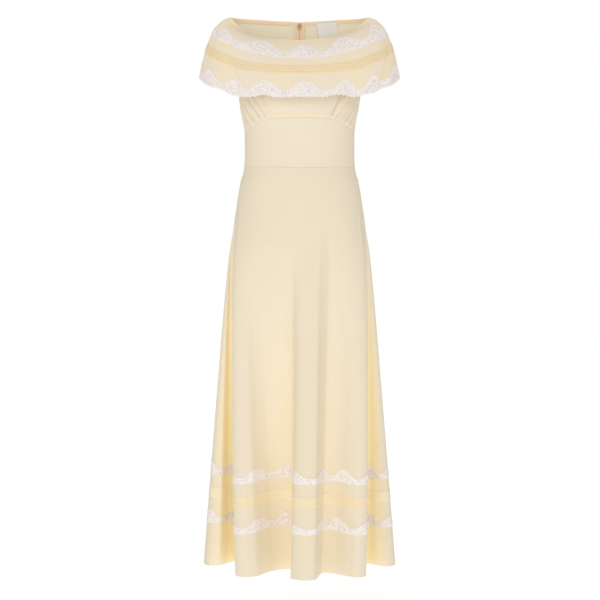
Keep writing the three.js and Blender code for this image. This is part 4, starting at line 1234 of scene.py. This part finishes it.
@dataclass
class Bodice(Panels):
    """The gathered bodice with the band above the underbust seam."""

    BACK_STEP = 0.6  # degrees between the columns of the plain backs
    UNDER_TONE = 0.12  # painted light: what the front gains under the collar
    NECK_TONE = 0.65  # painted light: what the inside of the back neck gains
    BAND_END = 0.3  # degrees between the band's end and the side seam
    SEAM_GAP = 0.3  # millimetres between the band and the seam

    # Between which places or rows each tone comes in
    CREASE_WIDTH, CREASE_CREST = 1.1, 0.6  # in half widths of a gather, and in shares of its crest
    CREASE_AT, CREASE_FOOT, CREASE_TOP = (24, 29), (1, 5), (50, 80)
    UNDER_ROWS, UNDER_AT = (5, 40), (80, 100)
    NECK_ROWS, NECK_AT = (66, 100), (100, 120)
    BAND_AT = (8, 45)

    def tone(self, at: np.ndarray, row: np.ndarray) -> np.ndarray:
        """Returns how deep the colour is: less, a painted shade, in the gathers' creases, and more, a
        painted light, under the collar and inside the back neck.
        """
        crest, near = np.zeros((2, *np.broadcast(at, row).shape))
        for gather in GATHERS:
            away = (at - gather.foot) / (gather.half * GATHER_SPREAD)
            crest = np.maximum(crest, 1 - away**2)
            near = np.maximum(near, bell(away, self.CREASE_WIDTH))
        crease = near * (1 - smooth(crest, 0.0, self.CREASE_CREST))
        crease *= smooth(row, *self.CREASE_FOOT) * (1 - smooth(row, *self.CREASE_TOP))
        crease *= smooth(np.abs(at), *self.CREASE_AT)
        under = self.UNDER_TONE * smooth(row, *self.UNDER_ROWS)
        under = under * (1 - smooth(np.abs(at), *self.UNDER_AT))
        inside_neck = smooth(np.abs(at), *self.NECK_AT) * smooth(row, *self.NECK_ROWS)
        return np.clip((PALE_TONE + under) * (1 - crease) + self.NECK_TONE * inside_neck, 0, 1)

    def build(self) -> None:
        """Makes every piece of the bodice."""
        self.panel("bodice_front", -SIDE, SIDE, "gathered", BODICE_PAINTED_SHADING)
        self.panel("bodice_back_left", -BACK, -SIDE, "hung", BODICE_PAINTED_SHADING, self.BACK_STEP)
        self.panel("bodice_back_right", SIDE, BACK, "hung", BODICE_PAINTED_SHADING, self.BACK_STEP)
        self.trim(
            "underbust_band",
            columns_between(self.BAND_END - SIDE, SIDE - self.BAND_END, self.step),
            self.BAND_ROWS,
            lambda at: (np.full(at.shape, self.SEAM_GAP), np.full(at.shape, UNDERBUST_BAND)),
            lambda at, share: 1 - smooth(np.abs(at), *self.BAND_AT),
        )


@dataclass
class Midriff(Panels):
    """The plain fitted midriff with the band above the waist seam."""

    BAND_TONE, BAND_FOOT = 0.2, 0.7  # the band's tone, and what its lower half gains

    def tone(self, at: np.ndarray, row: np.ndarray) -> np.ndarray:
        """Returns how deep the colour is, the same all over."""
        return np.full(np.broadcast(at, row).shape, PALE_TONE)

    def build(self) -> None:
        """Makes every piece of the midriff."""
        self.panel("midriff_front", -SIDE, SIDE, "hung")
        self.panel("midriff_back_left", -BACK, -SIDE, "hung")
        self.panel("midriff_back_right", SIDE, BACK, "hung")
        low = MidriffForm.TALL
        self.trim(
            "waist_band",
            columns_between(BACK_GAP - BACK, BACK - BACK_GAP, self.step),
            self.BAND_ROWS,
            lambda at: (np.full(at.shape, low - WAIST_BAND), np.full(at.shape, low - MIDRIFF_EDGE)),
            lambda at, share: self.BAND_TONE + self.BAND_FOOT * smooth(share, 0.5, 1.0),
        )


@dataclass
class Skirt(Panels):
    """The fluted skirt with its lace and its tucks."""

    CREST_TONE = 0.1  # painted shade: what the middle crest takes away
    SIDE_TONE = 0.2  # painted shade: what the side seams' flutes take away
    VALLEY_TONE = 0.5  # painted light: what a flute's valley gains
    OUTER_TONE = 0.13  # painted light: what the valleys towards the sides gain besides

    # Between which places each tone comes in, and between which shares of the skirt's length
    SIDE_FROM, SIDE_TO, SIDE_ROWS = (84, 90), (104, 112), (0.3, 0.9)
    CREST_AT, CREST_WIDTH, CREST_ROWS = 8, 14, (0.2, 0.6)
    OUTER_AT = (64, 74)
    SHELTER_GROWTH = (0.0, 0.6)  # how far a flute has grown where its shelter starts and is whole

    lace_upper: tuple[float, float, float] = (644, 661, 673)
    lace_lower: tuple[float, float, float] = (749, 766, 778)
    tucks_from: float = 700.5
    tucks_pitch: float = 4.3
    line: float = 0.46
    fold: float = 0.4

    def shelter(self, at: np.ndarray, row: np.ndarray) -> np.ndarray:
        """Returns how far the cloth lies in a fold's shelter, where light is painted in."""
        grown = self.form.grown(at, row / SKIRT_LENGTH, FLUTE_GROWTH)
        return self.form.deep(at) * smooth(grown, *self.SHELTER_GROWTH)

    def tone(self, at: np.ndarray, row: np.ndarray) -> np.ndarray:
        """Returns how deep the colour is: painted light, warmer, in the flutes' valleys, and painted
        shade, greyer, on the middle crest and the sides.
        """
        share = row / SKIRT_LENGTH
        side = smooth(np.abs(at), *self.SIDE_FROM) * (1 - smooth(np.abs(at), *self.SIDE_TO))
        side = self.SIDE_TONE * side * smooth(share, *self.SIDE_ROWS)
        crest = bell(at - self.CREST_AT, self.CREST_WIDTH) * smooth(share, *self.CREST_ROWS)
        crest = self.CREST_TONE * crest
        weight = self.VALLEY_TONE + self.OUTER_TONE * smooth(np.abs(at), *self.OUTER_AT)
        return np.clip(PALE_TONE - crest - side + weight * self.shelter(at, row), 0, 1)

    def build(self) -> None:
        """Makes every piece of the skirt."""
        self.panel("skirt_front", -SIDE, SIDE, "hung", FLUTE_PAINTED_SHADING)
        self.panel("skirt_back_left", -BACK, -SIDE, "hung", FLUTE_PAINTED_SHADING)
        self.panel("skirt_back_right", SIDE, BACK, "hung", FLUTE_PAINTED_SHADING)
        self.lace("skirt_lace_upper", SKIRT_LACE_UPPER, self.lace_upper, skirt_rise)
        self.lace("skirt_lace_lower", SKIRT_LACE_LOWER, self.lace_lower, skirt_rise)
        self.tucks("skirt_tucks", self.tucks_from, self.tucks_pitch, skirt_rise)


@dataclass(frozen=True)
class BindingRow:
    """A row of the neck binding's section, in millimetres.

    It starts a share of the way from the collar's neck edge to the bodice's, and goes down the collar,
    straight up, outwards, and a share of the binding's height down the bodice.
    """

    inward: float
    down: float = 0.0
    up: float = 0.0
    out: float = 0.0
    hang: float = 0.0


BINDING = (
    BindingRow(0, down=2.2, out=0.9),
    BindingRow(0, down=0.6, out=1.1),
    BindingRow(0, up=0.9, out=0.3),
    BindingRow(0.5, up=1.1),
    BindingRow(1, up=0.8, out=-0.7),
    BindingRow(1, hang=0.15, out=-1.1),
    BindingRow(1, hang=0.6, out=-1.1),
    BindingRow(1, hang=1, out=-1.0),
)


@dataclass
class Neck:
    """The neck binding, the label and the zip, inside the back neck."""

    BINDING_END = 6.8  # degrees between the binding's end and the centre back
    BINDING_STEP = 0.75
    COLLAR_DOWN = 6.0  # the collar's row that gives the way down from its neck edge
    CORNER = (84, 96)  # places between which the binding turns from the front to the back
    NEAR_BACK = 8.0  # degrees from the centre back where widths are measured
    ZIP_BELOW_WAIST = 108.0
    TAPE_COLUMNS, TAPE_ROWS = 7, 30
    BINDING_TONE, TAPE_TONE = 0.3, 0.2

    collar: CollarForm
    bodice: BodiceForm
    midriff: MidriffForm
    skirt: SkirtForm
    dresser: Dresser
    binding_tall: float = 8.0
    tape_wide: float = 13.0
    tape_start: float = 0.9
    tape_inside: float = 1.6

    def binding(self) -> None:
        """Makes the binding, folded over the neck edge from the inside."""
        at = columns_between(self.BINDING_END - BACK, BACK - self.BINDING_END, self.BINDING_STEP)
        neck = self.collar.edge("neck", at)
        down = self.collar.point(at, np.full(at.shape, self.COLLAR_DOWN)) - neck
        down /= np.linalg.norm(down, axis=-1, keepdims=True)
        outward, hang = neck_outward(neck), self.hang(at)
        inward = -NECK_LAYER * outward
        up = np.array([0.0, 0.0, 1.0])
        section = [
            neck + inward * row.inward + down * row.down + up * row.up
            + outward * row.out + hang * row.hang
            for row in BINDING
        ]
        points = np.stack(section, axis=1)
        tone = np.full(points.shape[:2], self.BINDING_TONE)
        thing = cloth_sheet("neck_binding_tape", points, tone, BINDING_WALL, False)
        nodes = ("neck_binding_front", "neck_binding_back_left", "neck_binding_back_right")
        self.dresser.finish(thing, TAPE, DRESS, nodes)
        self.dresser.sheet(thing, points, "folded")

    def hang(self, at: np.ndarray) -> np.ndarray:
        """Returns the way down the bodice below each place of the neck edge.

        The shoulder corners bridge the armholes, so there the front turns softly into the back.
        """
        place = np.interp(np.abs(at), self.bodice.match.y, self.bodice.match.x)
        ways = []
        for low, high in ((0.0, SHOULDER_FRONT), (SHOULDER_BACK, BACK)):
            near = np.clip(place, low, high) * np.sign(at)
            down = self.bodice.point(near, self.bodice.row_below_top(near, self.binding_tall))
            ways.append(down - self.bodice.top(near))
        share = smooth(np.abs(at), *self.CORNER)[:, None]
        return ways[0] * (1 - share) + ways[1] * share

    def inside_back(self, across: float, distance: float, rows: int) -> np.ndarray:
        """Returns a line down the inside of the centre back.

        Args:
            across: The distance from the centre back, left or right.
            distance: How far inside the cloth's middle it lies.
            rows: How many points each of the three surfaces gives.

        Returns:
            The points, from the neck down past the waist.
        """
        lines = []
        way = 1.0 if across >= 0 else -1.0
        for form, first, last in (
            (self.bodice, BodiceForm.FULL, 0.0),
            (self.midriff, 0.0, MidriffForm.TALL),
            (self.skirt, 0.0, self.ZIP_BELOW_WAIST),
        ):
            row = np.linspace(first, last, rows)
            near = np.full(row.shape, way * (BACK - self.NEAR_BACK))
            wide = np.abs(form.point(near, row)[:, 0])
            at = way * (BACK - self.NEAR_BACK * abs(across) / wide)
            point, normal = form.frame(at, row)
            lines.append(point - normal * distance)
        return np.concatenate(lines)

    def zip(self) -> None:
        """Makes the zip's two tapes."""
        for name, way in (("left", -1.0), ("right", 1.0)):
            across = np.linspace(self.tape_start, self.tape_wide, self.TAPE_COLUMNS) * way
            lines = [self.inside_back(x, self.tape_inside, self.TAPE_ROWS) for x in across]
            points = np.stack(lines)
            tone = np.full(points.shape[:2], self.TAPE_TONE)
            thing = cloth_sheet(f"zip_tape_{name}_cloth", points, tone, TAPE_WALL, name == "left")
            self.dresser.finish(thing, TAPE, DRESS, (f"zip_tape_{name}",))
            self.dresser.sheet(thing, points, "hung")

    def build(self) -> None:
        """Makes every piece of the neck."""
        self.binding()
        self.zip()
        Coil(self).build()
        Label(self).build()


@dataclass
class Coil:
    """The zip's coil: a thread that winds down between the tapes."""

    TURN_POINTS = 8
    SIDES = 4
    ROWS = 40
    MIDDLE = 0.01  # millimetres from the centre back, so that it has a side
    TONE = 0.5

    neck: Neck
    top: float = -6.5
    pitch: float = 1.5
    half_wide: float = 1.15
    half_deep: float = 0.55
    thread: float = 0.28
    inside: float = 1.9

    def path(self) -> np.ndarray:
        """Returns the points of the thread's middle."""
        line = self.neck.inside_back(self.MIDDLE, self.inside, self.ROWS)
        line = line[line[:, 2] < self.top]
        step = np.concatenate([[0], np.cumsum(np.linalg.norm(np.diff(line, axis=0), axis=1))])
        turns = int(step[-1] / self.pitch)
        walk = np.linspace(0, step[-1], turns * self.TURN_POINTS)
        centre = np.stack([np.interp(walk, step, line[:, axis]) for axis in range(3)], axis=1)
        angle = 2 * np.pi * walk / self.pitch
        turn = [self.half_wide * np.cos(angle), self.half_deep * np.sin(angle), 0 * angle]
        return centre + np.stack(turn, axis=1)

    def build(self) -> None:
        """Makes the thread, with a small square section."""
        path, sides = self.path(), self.SIDES
        ahead = np.gradient(path, axis=0)
        ahead /= np.linalg.norm(ahead, axis=1, keepdims=True)
        first = np.cross(ahead, [0.0, 0.0, 1.0])
        first /= np.linalg.norm(first, axis=1, keepdims=True)
        second = np.cross(ahead, first)
        ring = 2 * np.pi * np.arange(sides)[None, :, None] / sides
        offset = first[:, None] * np.cos(ring) + second[:, None] * np.sin(ring)
        points = (path[:, None] + self.thread * offset).reshape(-1, 3)
        i, k = np.meshgrid(np.arange(len(path) - 1), np.arange(sides), indexing="ij")
        here, after = i * sides, (k + 1) % sides
        faces = np.stack([here + k, here + after, here + sides + after, here + sides + k], -1)
        last = (len(path) - 1) * sides
        ends = [list(range(sides))[::-1], list(range(last, last + sides))]
        thing = new_object(
            "zip_coil_thread",
            points,
            faces.reshape(-1, 4).tolist() + ends,
            points[:, [0, 2]],
            np.full(len(points), self.TONE),
        )
        face_outwards(thing)
        self.neck.dresser.finish(thing, TAPE, DRESS, ("zip_coil",))


@dataclass
class Label:
    """The bare label, which hangs from the binding with a slight lean and sway."""

    COLUMN_STEP = 0.8
    ROWS = 24
    SWAY_FROM = (0.3, 1.0)  # shares of its length between which the sway grows
    SWAY_TURN = 3.0  # radians of a wave in its length
    END_SHADE = (0.02, 0.08)  # shares of its length between which the painted shade of an end fades

    neck: Neck
    start: float = 151.0
    end: float = 167.0
    top: float = 1.5
    low: float = 43.5
    lean: float = 3.0
    inside: float = 2.6
    sway: float = 1.2

    def build(self) -> None:
        """Makes the label, with painted shade, a deeper colour, at its folded ends."""
        bodice, dresser = self.neck.bodice, self.neck.dresser
        at = columns_between(self.start, self.end, self.COLUMN_STEP)
        share = np.linspace(0, 1, self.ROWS)
        top, low = (bodice.row_below_top(at, below) for below in (self.top, self.low))
        row = top[:, None] + (low - top)[:, None] * share
        point, normal = bodice.frame(at[:, None] - self.lean * share, row)
        sway = self.sway * smooth(share, *self.SWAY_FROM) * np.sin(share * self.SWAY_TURN)
        points = point - normal * (self.inside + sway)[None, :, None]
        edge = np.minimum(share, 1 - share)
        tone = np.broadcast_to(1 - smooth(edge, *self.END_SHADE), points.shape[:2])
        thing = cloth_sheet("label_satin", points, tone, LABEL_WALL, False)
        dresser.finish(thing, SATIN, DRESS, ("label",))
        dresser.sheet(thing, points, "hung")


def face_outwards(thing: bpy.types.Object) -> None:
    """Turns the faces of a closed mesh outwards."""
    work = bmesh.new()
    work.from_mesh(thing.data)
    bmesh.ops.recalc_face_normals(work, faces=work.faces)
    work.to_mesh(thing.data)
    work.free()


@dataclass
class PullTab:
    """The zip's pull tab, shaped like a drop, and the finish of the solids that carry it."""

    RING_POINTS = 48
    WIRE_POINTS = 12

    dresser: Dresser
    hinge_y: float = 71.2
    hinge_z: float = 1.9
    ring: float = 4.4
    wire: float = 0.62
    drop: float = 12.6
    taper: float = 0.06

    def build(self) -> None:
        """Makes the tab from a ring that is drawn out downwards, and dresses the solids."""
        bpy.ops.object.select_all(action="DESELECT")
        bpy.ops.mesh.primitive_torus_add(
            major_segments=self.RING_POINTS,
            minor_segments=self.WIRE_POINTS,
            major_radius=self.ring * MM,
            minor_radius=self.wire * MM,
            location=(0, self.hinge_y * MM, (self.hinge_z - self.ring) * MM),
            rotation=(np.pi / 2, 0, 0),
        )
        tab = bpy.context.object
        tab.name = "zip_pull_drop"
        bpy.ops.object.transform_apply(location=True, rotation=True, scale=True)
        points = np.array([v.co for v in tab.data.vertices]) / MM
        below = self.hinge_z - self.ring - points[:, 2]
        draw = (self.drop - self.wire - 2 * self.ring) / self.ring
        low = below > 0
        points[low, 2] -= draw * below[low]
        points[:, 0] *= np.where(low, 1.0, 1.0 - self.taper * np.clip(-below / self.ring, 0, 1))
        for vertex, point in zip(tab.data.vertices, points * MM):
            vertex.co = point
        bpy.ops.object.shade_smooth()
        self.dresser.finish(tab, BRASS, "pull_tab", ("zip_pull_tab",))
        for name in ("zip_slider", "zip_bridge"):
            node = bpy.data.objects[name]
            node.data.materials.clear()
            node.data.materials.append(self.dresser.materials[BRASS.name])


# The room


@dataclass(frozen=True)
class Sun:
    """A large soft light: where it comes from, how strong it is and how many degrees wide it looks."""

    name: str
    come_from: tuple[float, float, float]
    power: float
    spread: float

    def build(self) -> None:
        """Sets the light."""
        lamp = bpy.data.lights.new(self.name, "SUN")
        lamp.energy = self.power
        lamp.angle = np.radians(self.spread)
        thing = bpy.data.objects.new(self.name, lamp)
        bpy.context.scene.collection.objects.link(thing)
        thing.location = self.come_from
        thing.rotation_euler = (-Vector(self.come_from)).to_track_quat("-Z", "Y").to_euler()


SUNS = (
    Sun("key", (-0.3, -3.0, 2.2), 0.5, 35),
    Sun("left", (-1.6, -2.6, 0.5), 0.42, 45),
    Sun("right", (1.6, -2.6, 0.5), 0.36, 45),
)
WHITE = "#ffffff"


@dataclass(frozen=True)
class Room:
    """The pale floor, the soft light and the camera, in metres."""

    camera_at: tuple[float, float, float] = (0.001, -3.0, -0.62)
    lens: float = 81.8
    sensor: float = 36.0
    view_end: float = 100.0
    floor_z: float = -1.45
    floor_size: float = 40.0
    floor_rough: float = 0.9
    floor_glow: float = 0.46
    ambient: float = 0.45

    def floor(self) -> None:
        """Lays the floor, which throws soft light up at the dress."""
        bpy.ops.object.select_all(action="DESELECT")
        bpy.ops.mesh.primitive_plane_add(size=self.floor_size, location=(0, 0, self.floor_z))
        floor = bpy.context.object
        floor.name = "floor"
        material = bpy.data.materials.new("floor_white")
        material.use_nodes = True
        shader = material.node_tree.nodes["Principled BSDF"]
        shader.inputs["Base Color"].default_value = srgb(WHITE)
        shader.inputs["Roughness"].default_value = self.floor_rough
        shader.inputs["Emission Color"].default_value = srgb(WHITE)
        shader.inputs["Emission Strength"].default_value = self.floor_glow
        floor.data.materials.append(material)

    def sky(self) -> bpy.types.World:
        """Returns a pale sky, which looks white and gives the softer share of the light."""
        world = bpy.data.worlds.new("pale")
        world.use_nodes = True
        tree = world.node_tree
        background = tree.nodes["Background"]
        background.inputs["Color"].default_value = srgb(WHITE)
        seen = add(tree, "ShaderNodeLightPath", {}).outputs["Is Camera Ray"]
        strength = calc(tree, "MULTIPLY_ADD", seen, 1 - self.ambient, self.ambient)
        tree.links.new(strength, background.inputs["Strength"])
        return world

    def camera(self) -> bpy.types.Object:
        """Returns the camera, which looks level at the front of the dress."""
        data = bpy.data.cameras.new("camera")
        data.lens = self.lens
        data.sensor_width = self.sensor
        data.clip_end = self.view_end
        camera = bpy.data.objects.new("camera", data)
        bpy.context.scene.collection.objects.link(camera)
        camera.location = self.camera_at
        camera.rotation_euler = (np.pi / 2, 0, 0)
        return camera

    def build(self) -> None:
        """Sets the floor, the lights, the sky and the camera."""
        self.floor()
        for sun in SUNS:
            sun.build()
        scene = bpy.context.scene
        scene.world = self.sky()
        scene.view_settings.view_transform = "Standard"
        scene.camera = self.camera()


def main() -> None:
    """Builds the dress, piece by piece, and the room."""
    dresser = Dresser()
    collar, skirt, midriff = CollarForm(), SkirtForm(), MidriffForm()
    bodice = BodiceForm(collar)

    rows = np.linspace(0, COLLAR_HEM, COLLAR_ROWS)
    Collar(collar, rows, COLLAR_STEP, dresser=dresser).build()

    level_rows = np.linspace(0, BodiceForm.LEVEL, BODICE_LEVEL_ROWS)
    top_rows = np.linspace(BodiceForm.LEVEL, BodiceForm.FULL, BODICE_TOP_ROWS)
    rows = np.concatenate([level_rows, top_rows[1:]])
    Bodice(bodice, rows, BODICE_STEP, dresser=dresser).build()

    rows = np.linspace(MIDRIFF_EDGE, MidriffForm.TALL - MIDRIFF_EDGE, MIDRIFF_ROWS)
    Midriff(midriff, rows, MIDRIFF_STEP, dresser=dresser).build()

    rows = np.linspace(0, SKIRT_LENGTH, SKIRT_ROWS)
    Skirt(skirt, rows, SKIRT_STEP, dresser=dresser).build()

    Neck(collar, bodice, midriff, skirt, dresser).build()
    PullTab(dresser).build()
    Room().build()


if __name__ == "__main__":
    main()
